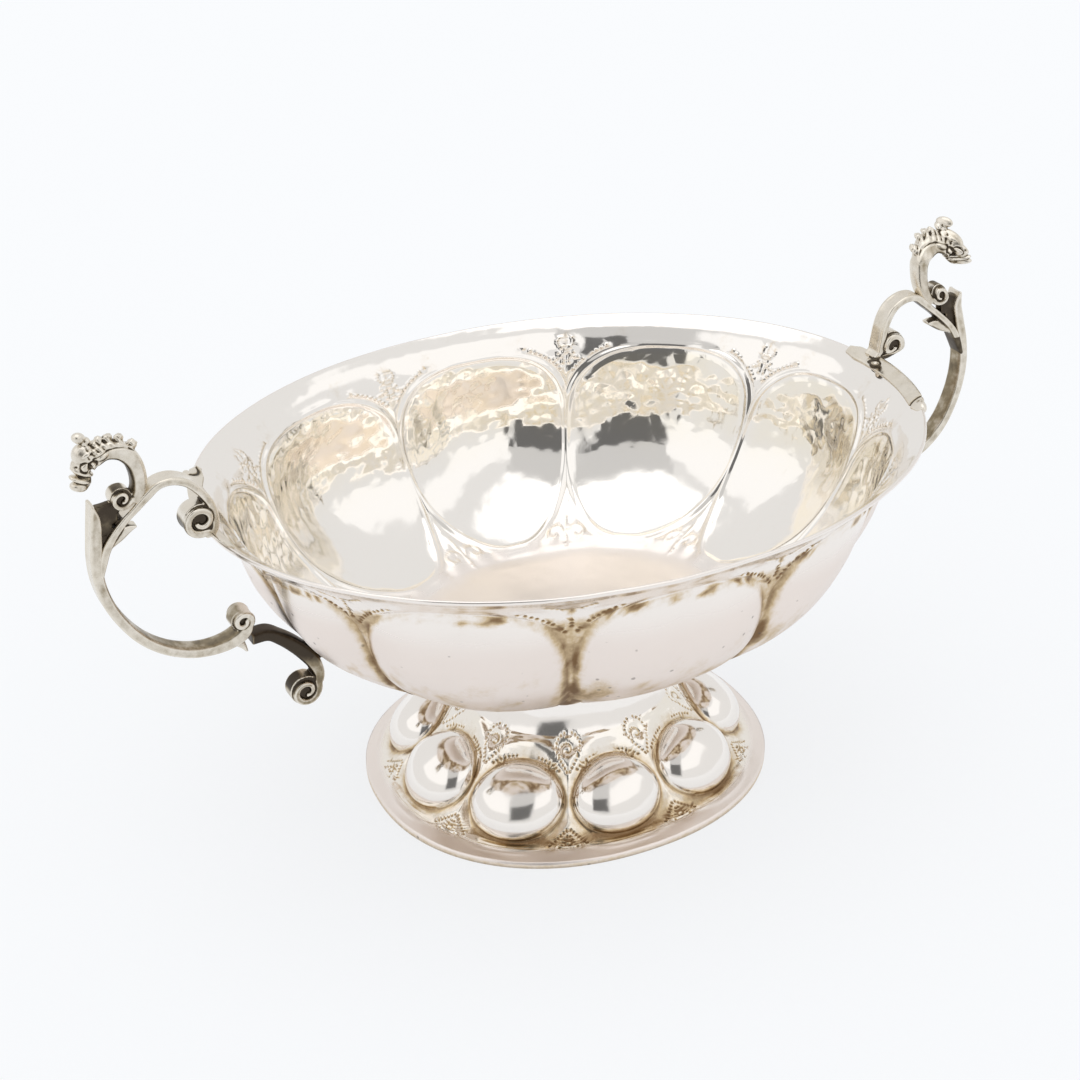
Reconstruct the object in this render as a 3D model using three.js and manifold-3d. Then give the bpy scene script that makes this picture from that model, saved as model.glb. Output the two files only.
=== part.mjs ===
// Oval lobed brandy bowl on a bossed foot, with two cast scroll handles.
// Millimetres, +Z up. The origin is on the floor under the middle of the bowl, and X is the long axis.
import * as THREE from "three";
import { mergeVertices } from "three/addons/utils/BufferGeometryUtils.js";
import Module from "manifold-3d";

const wasm = await Module();
wasm.setup();

// Bowl
const rimLength = 164;
const rimWidth = 121.8;
const rimHeight = 82.3;
const rimSquareness = 2.04;
const wall = 1;
const lipThickness = 0.65;
const footHeight = 36;
// The seams between lobes, read off the photograph, as angles of the rim's ellipse.
const seamAngles = [28, 70, 106, 147, 189, 213, 250, 285.5, 318, 350];
const lobeFullness = 2.6;
const lobeTopFullness = 3.5;
const lobeLowFullness = 2.6;
const lobeRoundness = 0.55;
const columnsPerLobe = 9;

// Foot
const footLength = 94.9;
const footWidth = 82.8;
const footSquareness = 2.16;
const bossAngles = [28, 68.5, 109, 149.3, 188.5, 228.1, 266, 302.5, 346];
const bossHeight = 4.4;
const bossCentre = 0.735;
const bossReach = 0.147;
const bossFill = 0.92;
const moatDepth = 0.7;
const moatWidth = 0.3;
const restWidth = 2.1;
const columnsPerBoss = 8;

// Handles
const handleTurn = 3.21;
const bandWidth = 4.2;
const rollWidth = 5.4;
const clearance = 0.3;
const stripThickness = 1.3;
const stripHeight = 2.6;
const stripBefore = 26;
const stripAfter = 7;
const beadBefore = 23;
const beadHalf = [1.2, 2.2, 1.2];
// The lower part of a handle may spread outwards and sideways: hundredths of the bowl's depth.
const spreadFrom = 121;
const spreadOver = 78;
// How far the right handle's low end stands out and forward of the left one's.
const rightReach = 4;
const rightLean = -4;
// The right head's neck leans back over its first rise. Above the crown's rise it leans on at a
// slope, and beyond the muzzle's reach it comes back at another.
const neckLean = 3;
const neckLeanOver = 8;
const crownRise = 9;
const crownSlope = 0.75;
const muzzleReach = 10;
const muzzleSlope = 0.9;

// Worked out from the sizes above.
const rimReach = rimLength / 2;
const meanReach = (rimLength + rimWidth) / 4;
const bowlDepth = rimHeight - footHeight;

const silver = { roughness: 0.2, metalness: 1 };

const group = new THREE.Group();
group.name = "brandy_bowl";

// Adds a mesh under its own name, with its own material.
function add(name, geometry, color) {
  const material = new THREE.MeshStandardMaterial({ color, ...silver });
  const mesh = new THREE.Mesh(geometry, material);
  mesh.name = name;
  group.add(mesh);
}

// One closed skin: shared corners, and no triangle that has lost an edge.
function welded(geometry) {
  const plain = new THREE.BufferGeometry();
  plain.setAttribute("position", geometry.getAttribute("position"));
  plain.setIndex(geometry.getIndex());
  const merged = mergeVertices(plain, 1e-4);
  const corners = merged.getIndex().array;
  const kept = [];
  for (let i = 0; i < corners.length; i += 3) {
    const [a, b, c] = corners.slice(i, i + 3);
    if (a !== b && b !== c && c !== a) kept.push(a, b, c);
  }
  merged.setIndex(kept);
  return merged;
}

function toSolid(geometry) {
  const skin = welded(geometry);
  const mesh = new wasm.Mesh({
    numProp: 3,
    vertProperties: new Float32Array(skin.getAttribute("position").array),
    triVerts: new Uint32Array(skin.getIndex().array),
  });
  return new wasm.Manifold(mesh);
}

function toGeometry(solid) {
  const mesh = solid.getMesh();
  const geometry = new THREE.BufferGeometry();
  const position = new THREE.BufferAttribute(mesh.vertProperties, 3);
  geometry.setAttribute("position", position);
  geometry.setIndex(new THREE.BufferAttribute(mesh.triVerts, 1));
  return geometry;
}

// A cut can leave a loose sliver beside the piece: only the piece is kept.
function largest(solid) {
  const bodies = solid.decompose().sort((a, b) => b.volume() - a.volume());
  return bodies[0];
}

function fused(geometries) {
  return geometries.map(toSolid).reduce((sum, next) => sum.add(next));
}

// A point of an oval: share 1 is its edge, and squareness 2 is a true ellipse.
function onOval(angle, share, length, width, squareness) {
  const c = Math.cos(angle);
  const s = Math.sin(angle);
  const sum = Math.abs(c) ** squareness + Math.abs(s) ** squareness;
  const reach = share * sum ** (-1 / squareness);
  return new THREE.Vector2((reach * c * length) / 2, (reach * s * width) / 2);
}

// A smooth line through a few points: a share of the oval's reach, and a share of a height.
function profile(points, from, height) {
  const stops = points.map(([share, up]) => new THREE.Vector3(share, from + up * height, 0));
  return new THREE.CatmullRomCurve3(stops, false, "centripetal");
}

// Turned body whose every corner is then placed by place(turn, row), turn from 0 to 1.
function turned(rows, columns, place) {
  const line = [];
  for (let row = 0; row < rows; row += 1) line.push(new THREE.Vector2(1, row));
  const geometry = new THREE.LatheGeometry(line, columns);
  const position = geometry.getAttribute("position");
  for (let i = 0; i < position.count; i += 1) {
    const column = Math.floor(i / rows) % columns;
    const spot = place(column / columns, rows - 1 - (i % rows));
    position.setXYZ(i, spot.x, spot.y, spot.z);
  }
  return geometry;
}

// Where an even turn falls among uneven marks: the angle, and -1 to 1 across the span it is in.
function acrossSpans(turn, marks) {
  const place = turn * marks.length;
  const index = Math.floor(place + 1e-9);
  const start = marks[index];
  const next = index + 1 < marks.length ? marks[index + 1] : marks[0] + 360;
  const share = Math.max(0, place - index);
  const angle = THREE.MathUtils.degToRad(start + share * (next - start));
  return { angle, across: 2 * share - 1 };
}

// Bowl: the lip, then the wall between a seam line and a fuller lobe line, then the floor.
// Points are shares of the rim's reach and of the bowl's depth above the foot.
const lip = profile([[1, 1], [0.955, 0.942], [0.925, 0.877]], footHeight, bowlDepth);
const seamLine = profile([[0.925, 0.877], [0.902, 0.78], [0.884, 0.68], [0.868, 0.57],
  [0.845, 0.465], [0.812, 0.37], [0.765, 0.28], [0.7, 0.19], [0.61, 0.108], [0.505, 0.048]], footHeight, bowlDepth);
const lobeLine = profile([[0.925, 0.877], [0.952, 0.778], [0.947, 0.648], [0.922, 0.518],
  [0.872, 0.389], [0.79, 0.263], [0.69, 0.156], [0.59, 0.082], [0.505, 0.048]], footHeight, bowlDepth);
const floorLine = profile([[0.505, 0.048], [0.46, 0.013], [0.4, 0]], footHeight, bowlDepth);

function bowlStations() {
  const stations = [];
  for (let i = 0; i < 3; i += 1) stations.push({ part: "lip", along: i / 3 });
  for (let i = 0; i <= 11; i += 1) stations.push({ part: "wall", along: i / 11 });
  for (let i = 1; i <= 2; i += 1) stations.push({ part: "floor", along: i / 2 });
  stations.push({ part: "flat", along: 1 });
  return stations;
}

// Outer skin of the bowl as a share of the rim and a height.
function bowlSkin(station, across) {
  if (station.part === "lip") return lip.getPoint(station.along);
  if (station.part === "floor") return floorLine.getPoint(station.along);
  if (station.part === "flat") return new THREE.Vector3(0, footHeight, 0);
  const seam = seamLine.getPoint(station.along);
  const lobe = lobeLine.getPoint(station.along);
  const down = 2 * station.along - 1;
  const fullness = down < 0 ? lobeTopFullness : lobeLowFullness;
  const inside = 1 - Math.abs(across) ** lobeFullness - Math.abs(down) ** fullness;
  const bulge = Math.max(0, inside) ** lobeRoundness;
  return seam.lerp(lobe, bulge);
}

// Moves a skin point in or out along its own profile's normal.
function offsetSkin(skin, stations, index, across, distance) {
  const here = skin(stations[index], across);
  const before = skin(stations[Math.max(0, index - 1)], across);
  const after = skin(stations[Math.min(stations.length - 1, index + 1)], across);
  const run = new THREE.Vector2((after.x - before.x) * meanReach, after.y - before.y);
  run.normalize();
  return new THREE.Vector3(here.x - (run.y / meanReach) * distance, here.y + run.x * distance, 0);
}

function bowlGeometry(grow) {
  const stations = bowlStations();
  const count = stations.length;
  return turned(2 * count, seamAngles.length * columnsPerLobe, (turn, row) => {
    const { angle, across } = acrossSpans(turn, seamAngles);
    const outer = row >= count;
    const index = outer ? row - count : count - 1 - row;
    const station = stations[index];
    let spot = bowlSkin(station, across);
    if (station.part === "flat") spot.y += outer ? -grow : wall;
    else if (!outer && index > 0) spot = offsetSkin(bowlSkin, stations, index, across, -wall);
    else if (!outer) spot.x -= lipThickness / rimReach;
    else if (grow > 0) spot = offsetSkin(bowlSkin, stations, index, across, grow);
    if (station.part === "flat") spot.x = 0;
    const flat = onOval(angle, Math.max(0, spot.x), rimLength, rimWidth, rimSquareness);
    return new THREE.Vector3(flat.x, flat.y, spot.y);
  });
}

// Foot: a raised shell from its flat top under the bowl to a broad flange on the floor.
const footOutside = profile([[0.56, 1], [0.49, 0.961], [0.45, 0.889], [0.435, 0.792],
  [0.447, 0.694], [0.475, 0.6], [0.525, 0.511], [0.59, 0.428], [0.66, 0.344], [0.735, 0.261],
  [0.81, 0.169], [0.865, 0.103], [0.9, 0.072], [0.935, 0.064], [1, 0.039]], 0, footHeight);
const footScale = (footLength + footWidth) / 4;
const footTop = footOutside.getPoint(0).x;
const footRows = 16;

function bossLift(across, share) {
  const up = (share - bossCentre) / bossReach;
  const out = Math.hypot(across / bossFill, up);
  if (out < 1) return (bossHeight + moatDepth) * (1 - out ** 2) ** 0.8 - moatDepth;
  return -moatDepth * Math.exp(-(((out - 1) / moatWidth) ** 2));
}

function footSkin(row, across, inset) {
  const along = row / footRows;
  const here = footOutside.getPoint(along);
  const ahead = footOutside.getPoint(Math.min(1, along + 0.01));
  const behind = footOutside.getPoint(Math.max(0, along - 0.01));
  const run = new THREE.Vector2((ahead.x - behind.x) * footScale, ahead.y - behind.y);
  run.normalize();
  const ends = row === 0 || row === footRows;
  const lift = (ends ? 0 : bossLift(across, here.x)) - inset;
  return new THREE.Vector2(here.x - (run.y / footScale) * lift, here.y + run.x * lift);
}

function footGeometry() {
  const count = footRows + 1;
  return turned(2 * count + 3, bossAngles.length * columnsPerBoss, (turn, row) => {
    const marks = bossAngles.map((angle, i) => {
      const last = i > 0 ? bossAngles[i - 1] : bossAngles[bossAngles.length - 1] - 360;
      return (angle + last) / 2;
    });
    const { angle, across } = acrossSpans(turn, marks);
    let spot;
    if (row < count) {
      spot = footSkin(row, across, 0);
    } else if (row === count) {
      spot = new THREE.Vector2(1, 0);
    } else if (row === count + 1) {
      spot = new THREE.Vector2(1 - restWidth / footScale, 0);
    } else if (row === 2 * count + 2) {
      spot = footSkin(0, across, 0);
    } else {
      const index = 2 * count + 1 - row;
      spot = footSkin(Math.min(index, footRows - 1), across, wall);
      if (index === 0) spot = new THREE.Vector2(footTop - wall / footScale, footHeight);
    }
    const flat = onOval(angle, spot.x, footLength, footWidth, footSquareness);
    const height = THREE.MathUtils.clamp(spot.y, 0, footHeight);
    return new THREE.Vector3(flat.x, flat.y, height);
  });
}

// A point of a handle, from hundredths of the rim's reach and of the bowl's depth above the foot.
function onHandle(out, up) {
  return new THREE.Vector2((rimReach * out) / 100, footHeight + (bowlDepth * up) / 100);
}

// A flat cast band in the handle's plane, through [x, z, half thickness] points in millimetres.
function band(points, width, grow = 0) {
  const stops = points.map(([x, z, half]) => new THREE.Vector3(x, z, half + grow));
  const curve = new THREE.CatmullRomCurve3(stops, false, "centripetal");
  const line = curve.getPoints(points.length * 3);
  const left = [];
  const right = [];
  line.forEach((spot, i) => {
    const before = line[Math.max(0, i - 1)];
    const after = line[Math.min(line.length - 1, i + 1)];
    const along = new THREE.Vector2(after.x - before.x, after.y - before.y).normalize();
    left.push(new THREE.Vector2(spot.x - along.y * spot.z, spot.y + along.x * spot.z));
    right.unshift(new THREE.Vector2(spot.x + along.y * spot.z, spot.y - along.x * spot.z));
  });
  const depth = width + 2 * grow;
  const options = { depth, bevelEnabled: false };
  const geometry = new THREE.ExtrudeGeometry(new THREE.Shape([...left, ...right]), options);
  return geometry.rotateX(Math.PI / 2).translate(0, depth / 2, 0);
}

// The rolled end of a scroll: a short cylinder across the handle.
function roll({ centre, radius }, width, grow = 0) {
  const size = radius + grow;
  const geometry = new THREE.CylinderGeometry(size, size, width + 2 * grow, 20);
  return geometry.translate(centre.x, 0, centre.y);
}

function lump({ centre, half, tilt }) {
  const geometry = new THREE.SphereGeometry(1, 10, 7);
  return geometry.scale(...half).rotateY(tilt).translate(centre.x, 0, centre.y);
}

// Leans a neck to one side, its crown further, and brings the muzzle back.
function leaned(solid, side) {
  return solid.warp((spot) => {
    const rise = spot[2] - headRoot.y;
    const neck = THREE.MathUtils.clamp(rise / neckLeanOver, 0, 1) * neckLean;
    const crown = Math.max(0, rise - crownRise) * crownSlope;
    const muzzle = Math.max(0, spot[0] - headRoot.x - muzzleReach) * muzzleSlope;
    spot[1] += side.headLean * (neck + crown - muzzle);
  });
}

// Lets the lower half of a handle stand further out or to one side.
function spread(solid, side) {
  return solid.warp((spot) => {
    const up = (100 * (spot[2] - footHeight)) / bowlDepth;
    const share = Math.max(0, spreadFrom - up) / spreadOver;
    spot[0] += side.reach * share;
    spot[1] += side.lean * share;
  });
}

// Handle lines are drawn on the bowl: hundredths out and up, then half the thickness in millimetres.
function drawn(points) {
  return points.map(([out, up, half]) => [...onHandle(out, up), half]);
}

const armLine = drawn([[100.9, 101.4, 0.8], [99, 104.5, 0.9], [98.7, 110.6, 0.9],
  [99.6, 117.1, 0.9], [101.7, 123.5, 0.9], [104.8, 129.2, 0.9], [108.4, 131.7, 0.9],
  [111.7, 131.1, 0.9], [114.3, 127.9, 1], [116.3, 122.2, 1.1], [119.3, 116.4, 1.2],
  [122.7, 111.4, 1.3], [126.1, 106.7, 1.3]]);
const leafLine = drawn([[123.2, 111, 1.1], [120.6, 111.4, 0.9], [117.9, 114.5, 0.3]]);
const gripLine = drawn([[127.6, 128.7, 0.35], [127.3, 122.2, 1.1], [127.8, 112.3, 1.3],
  [128.4, 102.4, 1.3], [128.2, 91.6, 1.25], [126.7, 80.8, 1.2], [123.9, 70, 1.15],
  [120, 60, 1.15], [115.4, 52.5, 1.15], [110.5, 47.5, 1.15], [105.9, 44.9, 1.2],
  [101.2, 44.3, 1.3], [97.3, 45.4, 1.5], [94.4, 47.9, 1.6], [92.7, 51.4, 1.4]]);
const bracketLine = drawn([[92.2, 43.6, 1.2], [87.7, 43.4, 1.3], [84.4, 39.3, 1.4],
  [81.2, 34.1, 1.6], [78.3, 28.1, 1.7], [76.1, 22, 1.6], [75, 15.6, 1.3], [75.5, 9.9, 1.2]]);
const spurLine = drawn([[77.6, 30.7, 1.2], [74.6, 25.9, 1], [71.1, 20.3, 0.35]]);
const thornLine = drawn([[95.4, 43.8, 1.3], [94.1, 40.2, 0.7], [93.2, 36.7, 0.25]]);
const rimRoll = { centre: onHandle(102.4, 110.4), radius: 4 };
const gripRoll = { centre: onHandle(94.3, 54.9), radius: 2.8 };
const bracketRoll = { centre: onHandle(79.1, 8.9), radius: 4.1 };

// The head keeps its own size, and stands where the arm turns down: millimetres from there.
const headRoot = onHandle(114.3, 127.9);
const fromRoot = (x, z) => new THREE.Vector2(headRoot.x + x, headRoot.y + z);
const neckLine = [[2.2, -0.6, 1.3], [1.2, 2, 1.5], [1.2, 5, 1.6], [2.1, 8, 1.7], [4.1, 10.2, 1.8],
  [6.9, 11, 1.9], [9.5, 10, 2], [11.5, 7.7, 1.7], [12.7, 5.5, 1.4]]
  .map(([x, z, half]) => [...fromRoot(x, z), half]);
const neckRoll = { centre: fromRoot(5.2, 0.6), radius: 2.6 };
const mane = [[1.6, 10.3], [4.1, 12.3], [7.1, 13.2], [9.8, 12.7]]
  .map(([x, z]) => ({ centre: fromRoot(x, z), half: [1.75, 1.9, 1.8], tilt: 0 }));
const face = [
  { centre: fromRoot(10.2, 9.4), half: [2.9, 2.3, 2.5], tilt: 0 },
  { centre: fromRoot(12.3, 6.5), half: [2.1, 1.9, 2.6], tilt: 0.5 },
  { centre: fromRoot(11.2, 4.8), half: [1.5, 1.6, 1.3], tilt: 0.4 },
  { centre: fromRoot(11.6, 13.7), half: [1.35, 1.3, 1.6], tilt: 0 },
];

function armSolid(grow = 0) {
  return fused([
    band(armLine, bandWidth, grow),
    band(leafLine, bandWidth - 0.8, grow),
    roll(rimRoll, rollWidth, grow),
  ]);
}

function gripSolid(grow = 0) {
  return fused([
    band(gripLine, bandWidth, grow),
    band(thornLine, bandWidth - 1.4, grow),
    roll(gripRoll, rollWidth, grow),
  ]);
}

function bracketSolid() {
  return fused([
    band(bracketLine, bandWidth),
    band(spurLine, bandWidth - 0.6),
    roll(bracketRoll, rollWidth),
  ]);
}

// Horse-like beast head on an arched neck, with a lumpy mane and a scroll at the neck's root.
function headSolid() {
  return fused([
    band(neckLine, bandWidth - 0.4),
    roll(neckRoll, rollWidth - 0.6),
    ...mane.map(lump),
    ...face.map(lump),
  ]);
}

// Strip that runs along the outside of the rim and ends in a bead.
function stripSolid(middle) {
  const steps = 14;
  const inner = [];
  const outer = [];
  for (let i = 0; i <= steps; i += 1) {
    const share = i / steps;
    const degrees = middle - stripBefore + share * (stripBefore + stripAfter);
    const angle = THREE.MathUtils.degToRad(degrees);
    const near = 1 + (clearance + 0.1) / rimReach;
    const thick = stripThickness * (0.75 + 0.25 * Math.sin(Math.PI * share));
    const far = near + thick / rimReach;
    inner.push(onOval(angle, near, rimLength, rimWidth, rimSquareness));
    outer.unshift(onOval(angle, far, rimLength, rimWidth, rimSquareness));
  }
  const options = { depth: stripHeight, bevelEnabled: false };
  const geometry = new THREE.ExtrudeGeometry(new THREE.Shape([...inner, ...outer]), options);
  const beadAngle = THREE.MathUtils.degToRad(middle - beadBefore);
  const beadShare = 1 + (clearance + 0.5 + stripThickness) / rimReach;
  const bead = onOval(beadAngle, beadShare, rimLength, rimWidth, rimSquareness);
  const beadBody = new THREE.SphereGeometry(1, 12, 8).scale(...beadHalf);
  beadBody.translate(bead.x, bead.y, rimHeight - stripHeight / 2);
  const bar = geometry.translate(0, 0, rimHeight - stripHeight - 0.1);
  return fused([bar, beadBody]);
}

const bowl = toSolid(bowlGeometry(0));
const bowlCleared = toSolid(bowlGeometry(clearance));
add("bowl", toGeometry(bowl), 0xd8d5cd);
add("foot", welded(footGeometry()), 0xd2cdc2);

const sides = {
  right: { halfTurn: 0, reach: rightReach, lean: rightLean, headLean: 1 },
  left: { halfTurn: 180, reach: 0, lean: 0, headLean: 0 },
};
for (const [name, side] of Object.entries(sides)) {
  const turn = handleTurn + side.halfTurn;
  const place = (solid) => solid.rotate([0, 0, turn]);
  const grip = spread(gripSolid(), side);
  const gripCleared = spread(gripSolid(clearance), side);
  const arm = armSolid().subtract(gripCleared);
  const head = leaned(headSolid(), side).subtract(armSolid(clearance)).subtract(gripCleared);
  const bracket = spread(bracketSolid(), side).subtract(gripCleared);
  const arc = THREE.MathUtils.degToRad(turn);
  const rimAngle = Math.atan2(Math.sin(arc) / rimWidth, Math.cos(arc) / rimLength);
  const middle = THREE.MathUtils.radToDeg(rimAngle);
  add(name + "_arm", toGeometry(place(arm)), 0xcfcabf);
  add(name + "_grip", toGeometry(place(grip).subtract(bowlCleared)), 0xcac4b8);
  add(name + "_head", toGeometry(place(head)), 0xc5beb0);
  add(name + "_bracket", toGeometry(largest(place(bracket).subtract(bowlCleared))), 0xb9b2a4);
  add(name + "_rim_strip", toGeometry(stripSolid(middle)), 0xcbc6bb);
}

export default group;
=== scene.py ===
"""Oval lobed silver brandy bowl: its looks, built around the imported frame.

Lengths are millimetres until a mesh is finished, and metres from there on.
"""

import logging
import math
from collections.abc import Callable, Sequence
from dataclasses import dataclass
from enum import Enum
from typing import NamedTuple

import bmesh
import bpy
import numpy as np
from mathutils import Matrix, Vector, noise


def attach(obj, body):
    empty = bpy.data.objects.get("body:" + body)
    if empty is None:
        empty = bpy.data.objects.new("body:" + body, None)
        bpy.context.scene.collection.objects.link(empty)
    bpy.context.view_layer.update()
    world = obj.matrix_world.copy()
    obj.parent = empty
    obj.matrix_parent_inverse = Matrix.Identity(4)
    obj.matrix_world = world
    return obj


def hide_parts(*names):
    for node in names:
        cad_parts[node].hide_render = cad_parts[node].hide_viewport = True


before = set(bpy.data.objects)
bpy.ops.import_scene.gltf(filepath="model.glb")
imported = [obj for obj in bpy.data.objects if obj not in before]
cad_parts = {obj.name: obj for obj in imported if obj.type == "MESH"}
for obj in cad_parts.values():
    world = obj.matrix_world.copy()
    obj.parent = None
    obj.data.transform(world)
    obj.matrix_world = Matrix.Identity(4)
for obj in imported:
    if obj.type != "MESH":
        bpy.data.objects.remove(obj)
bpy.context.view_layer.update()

log = logging.getLogger("brandy_bowl")

MM = 0.001
BODY = "root"
# The first mark carries tarnish and painted shade together.
MARK_NAMES = ("tarnish_and_shade", "warm", "matt")
FOOT_TOP = 36.0
SLOPE_STEP = 0.004
CLOSED_GAP = 0.002
FAR_OUT = 9.0

Array = np.ndarray
Spots = list[tuple[float, float]]
Marks = dict[str, Array]
BMesh = bmesh.types.BMesh
Object = bpy.types.Object
Material = bpy.types.Material
Socket = bpy.types.NodeSocket
Tree = bpy.types.NodeTree


# Curves and ovals


def smooth_line(points: Sequence[Sequence[float]], count: int) -> Array:
    """Samples a centripetal Catmull-Rom line, the same line as the solids use.

    Args:
        points: control points, all of the same length.
        count: number of samples.

    Returns:
        An array of count rows.
    """
    p = np.array(points, dtype=float)
    p = np.vstack([2 * p[0] - p[1], p, 2 * p[-1] - p[-2]])
    t = np.linspace(0.0, len(points) - 1, count)
    i = np.minimum(t.astype(int), len(points) - 2)
    w = (t - i)[:, None]
    p0, p1, p2, p3 = p[i], p[i + 1], p[i + 2], p[i + 3]
    d0, d1, d2 = (np.sqrt(np.linalg.norm(gap, axis=1))[:, None] for gap in (p1 - p0, p2 - p1, p3 - p2))
    m1 = ((p1 - p0) / d0 - (p2 - p0) / (d0 + d1) + (p2 - p1) / d1) * d1
    m2 = ((p2 - p1) / d1 - (p3 - p1) / (d1 + d2) + (p3 - p2) / d2) * d1
    c2 = -3 * p1 + 3 * p2 - 2 * m1 - m2
    c3 = 2 * p1 - 2 * p2 + m1 + m2
    return p1 + m1 * w + c2 * w**2 + c3 * w**3


def along(table: Array, t: Array) -> list[Array]:
    """Reads a sampled line at t from 0 to 1, as one array per column."""
    places = np.linspace(0.0, 1.0, len(table))
    return [np.interp(t, places, table[:, k]) for k in range(table.shape[1])]


def ease(value: Array, low: float, high: float) -> Array:
    """Smooth step from 0 at low to 1 at high."""
    t = np.clip((value - low) / (high - low), 0.0, 1.0)
    return t * t * (3 - 2 * t)


def hump(value: Array, centre: float | Array, width: float | Array) -> Array:
    """Bell of height 1 at centre, that has died away at about twice its width."""
    return np.exp(-(((value - centre) / width) ** 2))


def profile_normal(before: Sequence[Array], after: Sequence[Array], reach: float) -> tuple[Array, Array]:
    """The way out of the metal at places of a profile, which is its run turned a quarter.

    Args:
        before: shares and heights a little before the places.
        after: shares and heights a little after them.
        reach: length that a share of 1 stands for.

    Returns:
        Its parts out and up.
    """
    run_out, run_up = (after[0] - before[0]) * reach, after[1] - before[1]
    length = np.maximum(np.hypot(run_out, run_up), 1e-9)
    return -run_up / length, run_out / length


@dataclass(frozen=True)
class Oval:
    """A superellipse seen from above; squareness 2 is a true ellipse."""

    length: float
    width: float
    squareness: float

    def place(self, angle: Array, share: float | Array) -> tuple[Array, Array]:
        """Points at an angle, at a share of the way from the middle to the edge.

        Args:
            angle: angles in radians.
            share: 0 at the middle, 1 on the edge.

        Returns:
            Their x and y.
        """
        c, s = np.cos(angle), np.sin(angle)
        total = np.abs(c) ** self.squareness + np.abs(s) ** self.squareness
        reach = share * total ** (-1 / self.squareness)
        return reach * c * self.length / 2, reach * s * self.width / 2

    @property
    def mean_reach(self) -> float:
        """Half the mean of length and width."""
        return (self.length + self.width) / 4


def across_spans(turn: Array, marks: Sequence[float]) -> tuple[Array, Array, Array, Array]:
    """Finds where an even turn falls among uneven marks.

    Args:
        turn: shares of a turn.
        marks: angles in degrees at which the spans start.

    Returns:
        The span's index, its start and its size in radians, and -1 to 1 across it.
    """
    starts = np.radians([*marks, marks[0] + 360.0])
    place = (turn % 1.0) * len(marks)
    index = np.minimum((place + 1e-5).astype(int), len(marks) - 1)
    share = np.clip(place - index, 0.0, 1.0)
    return index, starts[index], starts[index + 1] - starts[index], 2 * share - 1


def snug(a: Array, b: Array, inside: tuple, powers: tuple, edge: float) -> tuple[Array, Array]:
    """Bends a square grid so that one of its loops lies on a rounded outline.

    Args:
        a: -1 to 1 across the cell.
        b: -1 to 1 down the cell.
        inside: half width and half height of the outline, as shares of the cell.
        powers: the outline's exponents: across, in its upper half and in its lower half.
        edge: which square loop, from 0 to 1, is laid on the outline.

    Returns:
        The bent a and b.
    """
    halvings, crowding = 28, 1.35
    m = np.maximum(np.maximum(np.abs(a), np.abs(b)), 1e-9)
    ua, ub = a / m, b / m
    power = np.where(b < 0, powers[1], powers[2])
    low, high = np.zeros_like(m), np.full_like(m, 1.5)
    for _ in range(halvings):
        middle = (low + high) / 2
        level = np.abs(middle * ua / inside[0]) ** powers[0] + np.abs(middle * ub / inside[1]) ** power
        low, high = np.where(level < 1, middle, low), np.where(level < 1, high, middle)
    within = np.clip(m / edge, 0, 1)
    beyond = np.clip((m - edge) / (1 - edge), 0, 1)
    k = np.where(m <= edge, low * (1 - (1 - within) ** crowding), low + (1 - low) * beyond)
    return ua * k, ub * k


# Meshes


def turned_grid(rows: int, columns: int) -> BMesh:
    """Spins an upright chain of corners into a tube of radius 1, one unit of height to a row.

    Args:
        rows: corners of the chain.
        columns: steps of the spin.

    Returns:
        The tube, open at both ends.
    """
    bm = bmesh.new()
    chain = [bm.verts.new((1.0, 0.0, float(row))) for row in range(rows)]
    edges = [bm.edges.new(pair) for pair in zip(chain, chain[1:])]
    bmesh.ops.spin(
        bm, geom=chain + edges, cent=(0, 0, 0), axis=(0, 0, 1), dvec=(0, 0, 0),
        angle=math.tau, steps=columns, use_merge=True)
    return bm


def turned_bar(rows: int, columns: int) -> tuple[BMesh, Array, Array]:
    """A turned grid with closed ends, for a bar.

    Args:
        rows: corners along the bar.
        columns: corners round it.

    Returns:
        The bar, each corner's angle round it, and its whole row.
    """
    bm = turned_grid(rows, columns)
    bmesh.ops.holes_fill(bm, edges=[e for e in bm.edges if e.is_boundary], sides=0)
    turn, row = turn_and_row(corner_array(bm))
    return bm, turn * math.tau, np.rint(row).astype(int)


def square_round(angle: Array, squareness: float) -> Array:
    """A rounded square's section, -1 to 1 both ways; squareness 2 is a circle."""
    parts = np.stack([np.cos(angle), np.sin(angle)])
    return np.sign(parts) * np.abs(parts) ** (2 / squareness)


def corner_array(bm: BMesh) -> Array:
    """The corners of a bmesh as an array."""
    return np.array([v.co[:] for v in bm.verts])


def set_corners(bm: BMesh, points: Array) -> None:
    """Moves every corner of a bmesh to its row of an array."""
    for vert, point in zip(bm.verts, points):
        vert.co = point


def turn_and_row(points: Array) -> tuple[Array, Array]:
    """The share of a turn and the row of each corner of a turned grid."""
    return (np.arctan2(points[:, 1], points[:, 0]) / math.tau) % 1.0, points[:, 2]


def refine(bm: BMesh, wanted: Callable[[Array, Array], Array], cuts: int) -> None:
    """Divides the faces of a turned grid that are wanted.

    Args:
        bm: the turned grid.
        wanted: function of turn and row arrays that says which face centres to divide.
        cuts: how many cuts each edge gets.
    """
    faces = list(bm.faces)
    centres = np.array([f.calc_center_median()[:] for f in faces])
    mask = wanted(*turn_and_row(centres))
    edges = {e for f, take in zip(faces, mask) if take for e in f.edges}
    bmesh.ops.subdivide_edges(bm, edges=list(edges), cuts=cuts, use_grid_fill=True)


def outward(bm: BMesh) -> None:
    """Turns a closed shell's faces outwards, by the sign of its volume."""
    if bm.calc_volume(signed=True) < 0:
        bmesh.ops.reverse_faces(bm, faces=bm.faces)


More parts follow.
